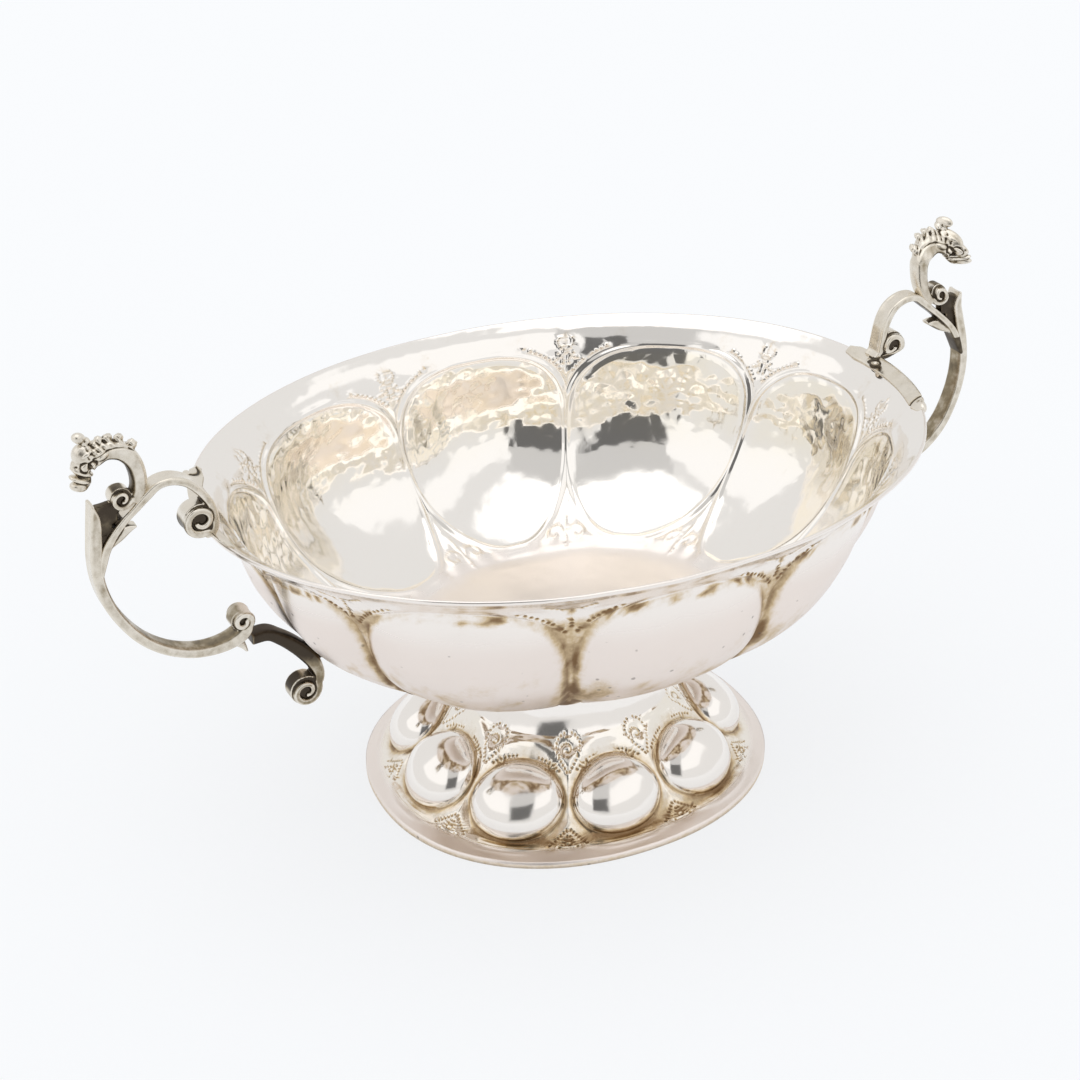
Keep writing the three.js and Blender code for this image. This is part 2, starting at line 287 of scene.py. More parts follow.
def linked(name: str, data: bpy.types.ID) -> Object:
    """Puts data into the scene.

    Args:
        name: the object's name.
        data: its mesh or camera.

    Returns:
        The object.
    """
    thing = bpy.data.objects.new(name, data)
    bpy.context.scene.collection.objects.link(thing)
    return thing


def finish_mesh(bm: BMesh, name: str) -> Object:
    """Makes the finished object, in metres, smooth and at the origin.

    Args:
        bm: the bmesh, in millimetres. It is freed.
        name: the object's name.

    Returns:
        The object.
    """
    bmesh.ops.scale(bm, vec=(MM, MM, MM), verts=bm.verts)
    for f in bm.faces:
        f.smooth = True
    mesh = bpy.data.meshes.new(name)
    bm.to_mesh(mesh)
    bm.free()
    return linked(name, mesh)


def finish_sheet(bm: BMesh, points: Array, marks: Marks, name: str) -> Object:
    """Finishes a turned sheet: its corners placed, its marks written, its poles and seams closed.

    Args:
        bm: the turned grid. It is freed.
        points: place of each corner, in millimetres.
        marks: the finish's marks.
        name: the object's name.

    Returns:
        The object.
    """
    set_corners(bm, points)
    for mark, values in marks.items():
        layer = bm.verts.layers.float.new(mark)
        for vert, value in zip(bm.verts, values):
            vert[layer] = value
    bmesh.ops.remove_doubles(bm, verts=bm.verts, dist=CLOSED_GAP)
    open_edges = [e for e in bm.edges if e.is_boundary]
    if open_edges:
        bmesh.ops.bridge_loops(bm, edges=open_edges)
    outward(bm)
    return finish_mesh(bm, name)


def wander(points: Array, grain: float, seed: int) -> Array:
    """Smooth noise from about -1 to 1 at each point.

    Args:
        points: array of points in millimetres.
        grain: size of the noise's features, in millimetres.
        seed: moves the noise to another place.

    Returns:
        One number per point.
    """
    shift = Vector((seed * 17.3, seed * 7.7, seed * 3.1))
    return np.array([noise.noise(Vector(p) / grain + shift) for p in points])


def patchy(points: Array, grain: float, seed: int) -> Array:
    """The same noise from about 0 to 1."""
    return 0.5 + 0.5 * wander(points, grain, seed)


# Punched ornament


def arc_points(
    centre: tuple, radius: float, start: float, end: float, step: float, tighten: float = 0.0
) -> Spots:
    """Evenly spaced points of an arc or a scroll.

    Args:
        centre: middle of the arc.
        radius: radius at the start.
        start: angle at the start, in degrees.
        end: angle at the end, in degrees.
        step: distance between points.
        tighten: how much of the radius is gone at the end, from 0 to 1.

    Returns:
        The points.
    """
    length = math.radians(abs(end - start)) * radius * (1 - tighten / 2)
    count = max(2, round(length / step))
    spots = []
    for share in (k / count for k in range(count + 1)):
        reach = radius * (1 - tighten * share)
        angle = math.radians(start + (end - start) * share)
        spots.append((centre[0] + reach * math.cos(angle), centre[1] + reach * math.sin(angle)))
    return spots


def line_points(start: tuple, end: tuple, step: float) -> Spots:
    """Evenly spaced points of a straight line, its ends included."""
    shares = np.linspace(0, 1, max(1, round(math.dist(start, end) / step)) + 1)
    return [(start[0] + (end[0] - start[0]) * t, start[1] + (end[1] - start[1]) * t) for t in shares]


def both_ways(spots: Spots) -> Spots:
    """The points and their mirror image."""
    return spots + [(-x, y) for x, y in spots]


def stamp(x: Array, y: Array, spots: Spots, radius: float) -> Array:
    """How deep each place lies in the nearest punch mark, from 0 to 1.

    Args:
        x: places across, in millimetres.
        y: places up, in millimetres.
        spots: the punch marks' middles.
        radius: their radius.

    Returns:
        One number per place.
    """
    depth = np.zeros_like(x)
    for cx, cy in spots:
        depth = np.maximum(depth, np.exp(-(((x - cx) ** 2 + (y - cy) ** 2) / radius**2) ** 1.5))
    return depth


# Bowl


class SheetPlaces(NamedTuple):
    """Where points of the turned grid fall on the bowl's sheet, one array to a field.

    Across runs from -1 to 1 over a lobe. Station is 0 on the lip's edge, 1 at the top of the wall, 2 at
    its foot, 3 where the floor is flat and 4 in its middle. Size is the lobe's span in radians.
    """

    lobe: Array
    angle: Array
    size: Array
    across: Array
    station: Array
    inner: Array

    @property
    def down(self) -> Array:
        """-1 at the top of the wall to 1 at its foot."""
        return 2 * np.clip(self.station - 1, 0, 1) - 1

    @property
    def below_lip(self) -> Array:
        """Where the lobes' outlines count."""
        return (self.station > 0.4) & (self.station < 2.6)


@dataclass
class LobedBowl:
    """The raised bowl: one sheet with ten chased lobes, a flared lip and a flat floor.

    Profile lines give shares of the rim's reach, and of the height from the underside to the rim.
    """

    rim: Oval = Oval(164.0, 121.8, 2.04)
    rim_height: float = 82.3
    underside: float = FOOT_TOP
    wall: float = 1.0
    seam_angles: tuple = (28, 70, 106, 147, 189, 213, 250, 285.5, 318, 350)
    lip_line: tuple = ((1, 1), (0.955, 0.942), (0.925, 0.877))
    seam_line: tuple = (
        (0.925, 0.877), (0.902, 0.78), (0.884, 0.68), (0.868, 0.57), (0.845, 0.465),
        (0.812, 0.37), (0.765, 0.28), (0.7, 0.19), (0.61, 0.108), (0.505, 0.048))
    lobe_line: tuple = (
        (0.925, 0.877), (0.952, 0.778), (0.947, 0.648), (0.922, 0.518), (0.872, 0.389),
        (0.79, 0.263), (0.69, 0.156), (0.59, 0.082), (0.505, 0.048))
    floor_line: tuple = ((0.505, 0.048), (0.46, 0.013), (0.4, 0))
    samples: int = 600
    powers: tuple = (2.6, 3.5, 2.6)
    inside: tuple = (0.965, 0.985)
    lobe_edge: float = 0.78
    half_drop: float = 26.0
    dome_power: float = 0.77
    dome_share: float = 0.6
    roundness: float = 0.5
    bell_power: float = 1.85
    bell_share: float = 0.85
    end_flattening: float = 0.5
    end_draw: float = 0.033
    draw_power: float = 1.2
    bead_half: float = 0.45
    bead_lift: float = 0.7
    punch_radius: float = 0.42
    punch_depth: float = 0.3
    dot_step: float = 1.1
    ridge_zone: tuple = (-0.7, 2.3)
    columns_per_lobe: int = 30
    zone_rows: tuple = (8, 30, 5)
    flat_rows: int = 3
    bead_rows: int = 5

    def __post_init__(self) -> None:
        """Samples the profile lines, and gives each row of the grid its station."""
        depth = self.rim_height - self.underside
        self.lip, self.seam, self.lobe, self.floor = (
            smooth_line([(share, self.underside + up * depth) for share, up in line], self.samples)
            for line in (self.lip_line, self.seam_line, self.lobe_line, self.floor_line))
        zones = [k + np.linspace(0, 1, rows, endpoint=False) for k, rows in enumerate(self.zone_rows)]
        face = np.concatenate([*zones, 3 + np.linspace(0, 1, self.flat_rows + 1)])
        self.face_rows = len(face)
        self.row_stations = np.concatenate([face[::-1], np.zeros(self.bead_rows), face])

    def places(self, turn: Array, row: Array) -> SheetPlaces:
        """Finds where points of the turned grid fall, with a loop of it laid on each lobe's outline.

        Args:
            turn: their shares of a turn.
            row: their rows.

        Returns:
            Their places on the sheet.
        """
        station = np.interp(row, np.arange(len(self.row_stations)), self.row_stations)
        lobe, start, size, across = across_spans(turn, self.seam_angles)
        down = np.clip(2 * (station - 1) - 1, -1, 1)
        bent_across, bent_down = snug(across, down, self.inside, self.powers, self.lobe_edge)
        on_wall = (station > 1) & (station < 2)
        across = np.where(on_wall, bent_across, across)
        station = np.where(on_wall, 1 + (bent_down + 1) / 2, station)
        inner = row > self.face_rows + self.bead_rows - 1
        return SheetPlaces(lobe, start + (across + 1) / 2 * size, size, across, station, inner)

    def shallow(self, angle: Array) -> Array:
        """1 at the oval's two ends, where the wall draws in and the lobes are flatter, 0 along its sides."""
        return ease(-np.cos(angle), 0.55, 0.95) + ease(np.cos(angle), 0.2, 0.7)

    def outline(self, across: Array, down: Array) -> Array:
        """Below 1 inside a lobe, 1 on its outline, and above 1 outside it."""
        power = np.where(down < 0, self.powers[1], self.powers[2])
        return np.abs(across / self.inside[0]) ** self.powers[0] + np.abs(down / self.inside[1]) ** power

    def beside_lobe(self, places: SheetPlaces, share: Array) -> Array:
        """Roughly how many millimetres each place lies outside the nearest lobe's outline.

        Args:
            places: the places.
            share: their shares of the rim's reach.

        Returns:
            One number per place, below 0 inside a lobe.
        """
        across, down = places.across, places.down
        half_width = np.maximum(places.size * self.rim.mean_reach * share / 2, 1e-6)
        p, q = self.powers[0], np.where(down < 0, self.powers[1], self.powers[2])
        slope_across = p * np.abs(across / self.inside[0]) ** (p - 1) / (self.inside[0] * half_width)
        slope_down = q * np.abs(down / self.inside[1]) ** (q - 1) / (self.inside[1] * self.half_drop)
        return (self.outline(across, down) - 1) / np.maximum(np.hypot(slope_across, slope_down), 1e-3)

    def skin(
        self, across: Array, station: Array, shallow: Array, inner: bool | Array = False
    ) -> tuple[Array, Array]:
        """The outer skin before its relief.

        Args:
            across: -1 to 1 across the lobe.
            station: place down the sheet.
            shallow: 1 where the oval's ends draw in, 0 along its sides.
            inner: where the lobes are dished like bells, as on the inner face.

        Returns:
            Its share of the rim's reach, and its height.
        """
        v = np.clip(station - 1, 0, 1)
        lip, seam, lobe = along(self.lip, np.clip(station, 0, 1)), along(self.seam, v), along(self.lobe, v)
        floor = along(self.floor, np.clip(station - 2, 0, 1))
        outline = np.clip(self.outline(across, 2 * v - 1), 0, 1)
        dome = 1 - outline**self.dome_power
        full = self.dome_share * dome + (1 - self.dome_share) * (1 - outline) ** self.roundness
        bell = self.bell_share * dome**self.bell_power + (1 - self.bell_share) * full
        bulge = np.where(inner, bell, full) * (1 - self.end_flattening * shallow)
        wall = [low + (high - low) * bulge for low, high in zip(seam, lobe)]
        wall[0] = wall[0] - self.end_draw * shallow * np.clip(np.sin(np.pi * v), 0, 1) ** self.draw_power
        share, up = (np.select([station < 1, station <= 2], [lip[k], wall[k]], floor[k]) for k in (0, 1))
        return np.where(station > 3, share * np.clip(4 - station, 0, 1), share), up

    def corner_dots(self, half_width: float, furthest: float, power: float, off_by: float) -> Spots:
        """Dots that follow the corner of a lobe.

        Args:
            half_width: the lobe's half width there, in millimetres.
            furthest: furthest from the seam that a dot lies.
            power: the outline's exponent at this end of the lobe.
            off_by: how far outside the outline they lie.

        Returns:
            Their places from the seam and from the lobe's end.
        """
        nearest = 0.9
        down = np.linspace(0.985, 0.45, 80)
        reach = np.clip(1 - (down / self.inside[1]) ** power, 0, None) ** (1 / self.powers[0])
        spots = np.stack([(1 - self.inside[0] * reach) * half_width, (1 - down) * self.half_drop], axis=1)
        run = np.gradient(spots, axis=0)
        run /= np.linalg.norm(run, axis=1)[:, None]
        dots = []
        for x, y in spots - np.abs(run[:, ::-1]) * off_by:
            apart = not dots or math.dist((x, y), dots[-1]) > self.dot_step
            if nearest <= x <= furthest and apart:
                dots.append((x, y))
        return dots

    def top_ornament(self, half_width: float, inner: bool) -> Spots:
        """Punch marks in half of the corner between two lobes under the lip.

        Args:
            half_width: the lobe's half width there, in millimetres.
            inner: whether they lie on the inner face, which has a flower, or the outer, which has rays.

        Returns:
            Their places from the seam, and down from the lobes' top.
        """
        dots = self.corner_dots(half_width, 9.5, self.powers[1], 2.9 if inner else 2.2)
        if not inner:
            ray = line_points((1.7, -1.2), (4.2, -2.4), 1.1)
            return dots + line_points((0.0, -1.2), (0.0, 5.6), 1.15) + ray
        petal = arc_points((2.9, 0.4), 2.5, 200, 95, 0.75) + arc_points((0.2, -1.6), 1.6, 60, -40, 0.75)
        stem = line_points((0.0, -3.6), (0.0, 1.2), 0.8)
        return dots + petal + stem + arc_points((3.2, 3.4), 2.6, 165, 235, 0.75)

    def low_ornament(self) -> Spots:
        """Punch marks in half of the corner at a seam's foot: a scroll and a stem, up from the lobes' end."""
        return arc_points((2.6, 1.2), 2.0, 170, -130, 0.42, 0.6) + line_points((0.0, -1.4), (0.0, 5.0), 0.8)

    def punching(self, places: SheetPlaces, share: Array, grow: float = 1.0) -> Array:
        """How deep each place lies in a punch mark.

        Args:
            places: the places.
            share: their shares of the rim's reach.
            grow: factor on the marks' radius.

        Returns:
            0 to 1 for each place.
        """
        lip_run, floor_run, low_depth = 7.9, 4.6, 0.6
        to_side, above, below_top, below_foot = 11, -5, 12, 9
        top_narrowing = 0.93
        lobe, station, down, inner = places.lobe, places.station, places.down, places.inner
        x = (1 - np.abs(places.across)) * places.size * self.rim.mean_reach * share / 2
        from_top = np.where(station <= 1, (station - 1) * lip_run, (1 + down) * self.half_drop)
        from_foot = np.where(station >= 2, (2 - station) * floor_run, (1 - down) * self.half_drop)
        radius = self.punch_radius * grow
        punched = np.zeros_like(x)
        spans = np.diff(np.radians([*self.seam_angles, self.seam_angles[0] + 360]))
        for index, half_width in enumerate(spans * self.rim.mean_reach / 2):
            here = (lobe == index) & (x < to_side)
            for on_inner in (True, False):
                near = here & (inner == on_inner) & (from_top > above) & (from_top < below_top)
                spots = self.top_ornament(half_width * top_narrowing, on_inner)
                punched[near] = stamp(x[near], from_top[near], spots, radius)
            near = here & inner & (from_foot > above) & (from_foot < below_foot)
            punched[near] = low_depth * stamp(x[near], from_foot[near], self.low_ornament(), radius)
        return punched

    def needs_corners(self, turn: Array, row: Array, edges_too: bool) -> Array:
        """Which faces need more corners: those near punch marks, and those on a lobe's edge inside.

        Args:
            turn: shares of a turn of the faces' middles.
            row: their rows.
            edges_too: whether the lobes' edges count.

        Returns:
            True or False for each face.
        """
        places = self.places(turn, row)
        share, _ = self.skin(places.across, places.station, self.shallow(places.angle))
        near_punch = self.punching(places, share, grow=1.6) > 0.4
        beside = self.beside_lobe(places, share)
        on_edge = places.inner & (beside > self.ridge_zone[0]) & (beside < self.ridge_zone[1])
        on_edge = on_edge & (places.station > 0.9) & (places.station < 2.05)
        return near_punch | (on_edge & edges_too)

    def relief(self, station: Array, beside: Array) -> Array:
        """Relief towards the inside of the bowl: the double ridge round each lobe, and two lines on the lip.

        Args:
            station: places down the sheet.
            beside: how far outside the nearest lobe they lie.

        Returns:
            Millimetres for each place.
        """
        ridge = 0.3 * hump(beside, 0.6, 0.6) - 0.13 * hump(beside, 1.7, 0.55) + 0.1 * hump(beside, 2.8, 0.6)
        ridge = ridge * ease(station, 0.75, 0.95) * (station < 2.3)
        return ridge + 0.1 * hump(station, 0.16, 0.03) + 0.12 * hump(station, 0.34, 0.05)

    def dents(self, points: Array, station: Array) -> Array:
        """The hammered sheet's unevenness, larger on the lip and on the floor.

        Args:
            points: places on the smooth skin.
            station: their places down the sheet.

        Returns:
            Millimetres for each place.
        """
        everywhere = 0.16 * wander(points, 15.0, 1) + 0.08 * wander(points, 6.0, 2)
        on_lip = 0.35 * ease(1 - station, 0.2, 1.0) * wander(points, 34.0, 5)
        return everywhere + on_lip + 0.5 * ease(station, 1.9, 2.3) * wander(points, 22.0, 6)

    def place(self, turn: Array, row: Array) -> tuple[Array, Marks]:
        """Places every corner of the bowl.

        Args:
            turn: share of a turn of each corner.
            row: row of each corner.

        Returns:
            The points, and the marks for the finish.
        """
        places = self.places(turn, row)
        station, inner, shallow = places.station, places.inner, self.shallow(places.angle)
        share, up = self.skin(places.across, station, shallow, inner)
        before, after = (
            self.skin(places.across, np.clip(station + step, 0, 4), shallow, inner)
            for step in (-SLOPE_STEP, SLOPE_STEP))
        n_out, n_up = profile_normal(before, after, self.rim.mean_reach)
        flip = np.where(n_out < 0, -1.0, 1.0)
        level = station > 2.5
        n_out, n_up = np.where(level, 0.0, n_out * flip), np.where(level, -1.0, n_up * flip)

        beside = np.where(places.below_lip, self.beside_lobe(places, share), FAR_OUT)
        punched = self.punching(places, share)
        smooth = np.stack([*self.rim.place(places.angle, share), up], axis=1)
        sunk = self.relief(station, beside) + self.punch_depth * punched + self.dents(smooth, station)

        bead = (row > self.face_rows - 1) & ~inner
        arc = np.clip((row - (self.face_rows - 1)) / (self.bead_rows + 1), 0, 1) * math.pi
        thinned = (self.wall - 2 * self.bead_half) * ease(1 - station, 0.55, 1.0)
        through = np.where(inner, thinned - self.wall, 0.0)
        push = np.where(bead, self.bead_half * (np.cos(arc) - 1), through) - sunk
        rise = np.where(bead, self.bead_lift * self.bead_half * np.sin(arc), 0.0)
        share = share + (n_out * push + rise) / self.rim.mean_reach
        share = np.where(station >= 4, 0.0, np.clip(share, 0, None))
        points = np.stack([*self.rim.place(places.angle, share), up + n_up * push + rise], axis=1)
        return points, self.wear(points, places, beside, punched)

    def wear(self, points: Array, places: SheetPlaces, beside: Array, punched: Array) -> Marks:
        """Tarnish outside along the seams, a band under the lip that is partly tarnish and partly painted
        shade and reflection, warm hammered tops and a dull floor inside.

        Args:
            points: the corners.
            places: their places on the sheet.
            beside: how far outside the nearest lobe they lie.
            punched: how deep they lie in a punch mark.

        Returns:
            The marks for the finish.
        """
        station, down, inner = places.station, places.down, places.inner
        blotch = patchy(points, 5.0, 3)
        streak = patchy(points * np.array([1.0, 1.0, 0.3]), 1.5, 4)
        seam = np.where(beside < 0, hump(beside, 0, 1.3), 1.0) * ease(station, 0.98, 1.12) * (station < 2.15)
        crease = 0.3 * hump(beside, 0.2, 0.5) * (station < 2.15)
        under_lip = hump(down, -0.93, 0.05) * places.below_lip * (1 - ease(np.abs(places.across), 0.65, 0.9))
        low_edge = ease(down, -0.5, 0.2) * (station < 2.3)
        outer_tarnish_and_shade = seam * (0.16 + 0.3 * blotch + 0.35 * streak) * (station > 1.05) + crease * streak
        # The band under the lip is partly tarnish and partly painted shade and reflection of the lip.
        outer_tarnish_and_shade += under_lip * (0.12 + 0.75 * ease(0.5 * blotch + 0.5 * streak, 0.46, 0.6))
        outer_tarnish_and_shade += low_edge * 0.6 * ease(0.6 * blotch + 0.4 * streak, 0.35, 0.75)
        inner_tarnish = 0.12 * hump(beside, 1.6, 0.4) + 0.05 * blotch
        tarnish_and_shade = np.where(inner, inner_tarnish + 0.3 * punched, outer_tarnish_and_shade + 0.75 * punched)
        lobe_top = ease(-beside, 0.0, 2.5) * ease(-down, -0.25, 0.5)
        warm = np.where(inner, lobe_top * (0.5 + 0.6 * blotch) + 0.08 * seam, 0.0)
        floor = 0.75 * ease(station, 1.75, 2.1) * ease(beside, -0.5, 1.0)
        matt = np.where(inner, floor, 0.35 + 0.65 * ease(down, -0.85, -0.5))
        return {"tarnish_and_shade": np.clip(tarnish_and_shade, 0, 1), "warm": np.clip(warm, 0, 1), "matt": matt}

    def build(self, silver: Material) -> Object:
        """Builds and dresses the bowl.

        Args:
            silver: its finish.

        Returns:
            The object.
        """
        bm = turned_grid(len(self.row_stations), len(self.seam_angles) * self.columns_per_lobe)
        refine(bm, lambda turn, row: self.needs_corners(turn, row, True), 2)
        refine(bm, lambda turn, row: self.needs_corners(turn, row, False), 1)
        points, marks = self.place(*turn_and_row(corner_array(bm)))
        return dress(finish_sheet(bm, points, marks, "chased_bowl"), silver, "bowl")


# Foot


@dataclass
class BossedFoot:
    """The raised foot: a waisted neck that spreads to nine bosses and a flat flange.

    The profile line gives shares of the base's reach and of the foot's height. Rows run down the outer
    face, round the flange's edge to its resting face, and up the inner face.
    """

    base: Oval = Oval(94.9, 82.8, 2.16)
    height: float = FOOT_TOP
    wall: float = 1.0
    samples: int = 900
    profile_line: tuple = (
        (0.56, 1), (0.49, 0.961), (0.45, 0.889), (0.435, 0.792), (0.447, 0.694), (0.475, 0.6),
        (0.525, 0.511), (0.59, 0.428), (0.66, 0.344), (0.735, 0.261), (0.81, 0.169),
        (0.865, 0.103), (0.9, 0.072), (0.935, 0.064), (1, 0.039))
    boss_angles: tuple = (28, 68.5, 109, 149.3, 188.5, 228.1, 266, 302.5, 346)
    boss_height: float = 4.4
    boss_powers: tuple = (2.5, 0.62)
    boss_centre: float = 0.735
    boss_reach: float = 0.147
    boss_fill: float = 0.92
    boss_edge: float = 0.72
    cell_reach: float = 0.21
    moat_depth: float = 0.7
    moat_width: float = 0.2
    grooves: tuple = ((0.22, 0.913), (0.18, 0.936))
    groove_width: float = 0.004
    rest_width: float = 2.1
    edge_height: float = 1.4
    profile_stretch: float = 1.16
    punch_radius: float = 0.28
    punch_depth: float = 0.28
    columns_per_boss: int = 36
    rows: int = 84
    edge_rows: int = 4
    inner_rows: int = 22
    inner_end: float = 0.97

    def __post_init__(self) -> None:
        """Samples the profile, and finds where each share of the reach lies along its spreading part."""
        self.outside = smooth_line(
            [(share, up * self.height) for share, up in self.profile_line], self.samples)
        waist = int(np.argmin(self.outside[:, 0]))
        self.spread_shares = self.outside[waist:, 0]
        self.spread_places = np.linspace(0, 1, len(self.outside))[waist:]
        self.last_row = self.rows + self.edge_rows + self.inner_rows - 1
        angles = self.boss_angles
        self.between_bosses = [(a + b) / 2 for a, b in zip(angles, (angles[-1] - 360, *angles))]

    def bent(self, a: Array, t: Array) -> tuple[Array, Array]:
        """Lays a loop of the grid on each boss's outline.

        Args:
            a: -1 to 1 across the cell.
            t: 0 to 1 down the profile.

        Returns:
            The bent a and t.
        """
        share, _ = along(self.outside, t)
        b = (share - self.boss_centre) / self.cell_reach
        in_cell = (t > self.spread_places[0]) & (np.abs(b) < 1)
        inside = (self.boss_fill, self.boss_reach / self.cell_reach)
        aa, bb = snug(a, np.clip(b, -1, 1), inside, (2.0, 2.0, 2.0), self.boss_edge)
        wanted = np.interp(self.boss_centre + bb * self.cell_reach, self.spread_shares, self.spread_places)
        return np.where(in_cell, aa, a), np.where(in_cell, wanted, t)

    def ornament(self) -> Spots:
        """Punch marks of the space between two bosses, y up the profile from the bosses' middle.

        Returns:
            A heart with a comma above, legs beside the bosses, and a fan with a knot below.
        """
        heart = arc_points((0.2, 10.2), 2.3, -40, 75, 0.78) + line_points((1.9, 8.3), (0.3, 5.6), 0.78)
        legs = arc_points((7.8, -0.2), 8.5, 134, 100, 0.85)
        fan = line_points((0.4, -5.4), (3.9, -8.2), 0.78) + line_points((0.3, -6.6), (1.9, -9.0), 0.78)
        comma = arc_points((-0.2, 9.6), 1.35, 150, -120, 0.36, 0.75)
        knot = arc_points((0.1, -8.0), 0.85, 200, -110, 0.34, 0.5)
        return both_ways(heart + legs + fan) + comma + knot

    def punching(self, a: Array, share: Array, size: Array, t: Array, grow: float = 1.0) -> Array:
        """How deep each place of the outer face lies in a punch mark.

        Args:
            a: -1 to 1 across the cell.
            share: share of the foot's reach.
            size: the cell's span in radians.
            t: place along the profile.
            grow: factor on the marks' radius.

        Returns:
            0 to 1 for each place.
        """
        x = (1 - np.abs(a)) * size * self.base.mean_reach * share / 2
        y = (self.boss_centre - share) * self.base.mean_reach * self.profile_stretch
        near = (x < 8) & (t > self.spread_places[0])
        x = np.where(a > 0, -x, x)
        punched = np.zeros_like(a)
        punched[near] = stamp(x[near], y[near], self.ornament(), self.punch_radius * grow)
        return punched

    def needs_corners(self, turn: Array, row: Array) -> Array:
        """Which faces lie near punch marks.

        Args:
            turn: shares of a turn of the faces' middles.
            row: their rows.

        Returns:
            True or False for each face.
        """
        _, _, size, a = across_spans(turn, self.between_bosses)
        a, t = self.bent(a, np.clip(row / (self.rows - 1), 0, 1))
        share, _ = along(self.outside, t)
        return (row < self.rows - 1) & (self.punching(a, share, size, t, grow=2.1) > 0.35)

    def bosses(self, out: Array) -> Array:
        """The bosses, each in a sunk ring with a low rim.

        Args:
            out: 0 in a boss's middle, 1 on its outline.

        Returns:
            Millimetres out of the profile.
        """
        dome = np.clip(1 - out ** self.boss_powers[0], 0, None) ** self.boss_powers[1]
        moat = -self.moat_depth * hump(out, 1.0, self.moat_width)
        rim = 0.25 * hump(out, 1.0 + 2.2 * self.moat_width, 0.07)
        return np.where(out < 1, (self.boss_height + self.moat_depth) * dome - self.moat_depth, moat + rim)

    def place(self, turn: Array, row: Array) -> tuple[Array, Marks]:
        """Places every corner of the foot.

        Args:
            turn: share of a turn of each corner.
            row: row of each corner.

        Returns:
            The points, and the marks for the finish.
        """
        last, reach = self.rows - 1, self.base.mean_reach
        outer = row <= last
        inner_t = np.clip((self.last_row - row) / (self.inner_rows - 1), 0, 1) * self.inner_end
        _, start, size, a = across_spans(turn, self.between_bosses)
        a, t = self.bent(a, np.where(outer, np.clip(row / last, 0, 1), inner_t))
        angle = start + (a + 1) / 2 * size
        share, up = along(self.outside, t)
        before, after = (along(self.outside, np.clip(t + step, 0, 1)) for step in (-SLOPE_STEP, SLOPE_STEP))
        n_out, n_up = profile_normal(before, after, reach)

        b = (share - self.boss_centre) / self.boss_reach
        out = np.where(t > self.spread_places[0], np.hypot(a / self.boss_fill, b), FAR_OUT)
        punched = self.punching(a, share, size, t) * outer * (out > 1.12)
        grooves = sum(depth * hump(share, middle, self.groove_width) for depth, middle in self.grooves)
        smooth = np.stack([*self.base.place(angle, share), up], axis=1)
        lift = self.bosses(out) + 0.12 * wander(smooth, 10.0, 11) + 0.05 * wander(smooth, 4.0, 12)
        lift = lift - self.punch_depth * punched - np.where(outer & (t > 0.3), grooves, 0.0)
        lift = lift * ease(t, 0.0, 0.03) * (1 - ease(t, 0.985, 1.0)) - np.where(outer, 0.0, self.wall)
        share = share + n_out * lift / reach
        up = np.clip(up + n_up * lift, 0, self.height)

        edge = (row > last) & (row < last + self.edge_rows)
        steps = last + np.arange(self.edge_rows)
        ring = np.interp(row, steps, [0, 0.02, 0.0, -self.rest_width / reach])
        share = np.where(edge, 1 + ring, share)
        up = np.where(edge, np.interp(row, steps, [self.edge_height, self.edge_height / 2, 0, 0]), up)
        top_inner = row > self.last_row - 0.5
        share = np.where(top_inner, self.profile_line[0][0] - self.wall / reach, share)
        up = np.where(top_inner, self.height, up)
        points = np.stack([*self.base.place(angle, np.clip(share, 0, 1.0)), up], axis=1)
        return points, self.wear(points, outer, t, share, out, punched)

    def wear(self, points: Array, outer: Array, t: Array, share: Array, out: Array, punched: Array) -> Marks:
        """Tarnish round the bosses, on the slope to the flange and in the punch marks.

        Args:
            points: the corners.
            outer: which of them lie on the outer face.
            t: their places along the profile.
            share: their shares of the base's reach.
            out: how far out from the nearest boss's middle they lie, 1 on its outline.
            punched: how deep they lie in a punch mark.

        Returns:
            The marks for the finish.
        """
        blotch = patchy(points, 4.0, 13)
        to_ends = ease(np.abs(points[:, 0]) / (self.base.length / 2), 0.45, 0.8)
        ring = np.exp(-((np.clip(out - 1.0, 0, None) / (0.3 - 0.1 * to_ends)) ** 2)) * (out > 0.98)
        crease = 0.42 * hump(out, 1.02, 0.04)
        slope = hump(share, 0.885 - 0.02 * to_ends, 0.045 - 0.015 * to_ends) * (t > 0.5) * (out > 1.0)
        slope = slope * (1 - 0.7 * to_ends)
        tarnish_and_shade = ring * (0.2 + 0.28 * blotch) + crease + slope * (0.2 + 0.4 * blotch) + 0.6 * punched
        inside_flange = (t > 0.4) * (1 - ease(share, 0.91, 0.94))
        warm = 0.6 * ease(out, 0.9, 1.2) * inside_flange * (0.4 + 0.6 * blotch)
        matt = 0.12 + 0.75 * ease(share, 0.9, 0.95) * (t > 0.5)
        pairs = zip(MARK_NAMES, (tarnish_and_shade, warm, matt), (0.35, 0.3, 1.0))
        return {name: np.clip(np.where(outer, shown, hidden), 0, 1) for name, shown, hidden in pairs}

    def build(self, silver: Material) -> Object:
        """Builds and dresses the foot.

        Args:
            silver: its finish.

        Returns:
            The object.
        """
        bm = turned_grid(self.last_row + 1, len(self.boss_angles) * self.columns_per_boss)
        refine(bm, self.needs_corners, 2)
        points, marks = self.place(*turn_and_row(corner_array(bm)))
        return dress(finish_sheet(bm, points, marks, "bossed_foot"), silver, "foot")


# Cast parts


def add_shape(bm: BMesh, shape: BMesh) -> None:
    """Adds one bmesh to another, and frees it.

    Args:
        bm: the bmesh that is added to.
        shape: the bmesh that is added.
    """
    mesh = bpy.data.meshes.new("part")
    shape.to_mesh(mesh)
    shape.free()
    bm.from_mesh(mesh)
    bpy.data.meshes.remove(mesh)


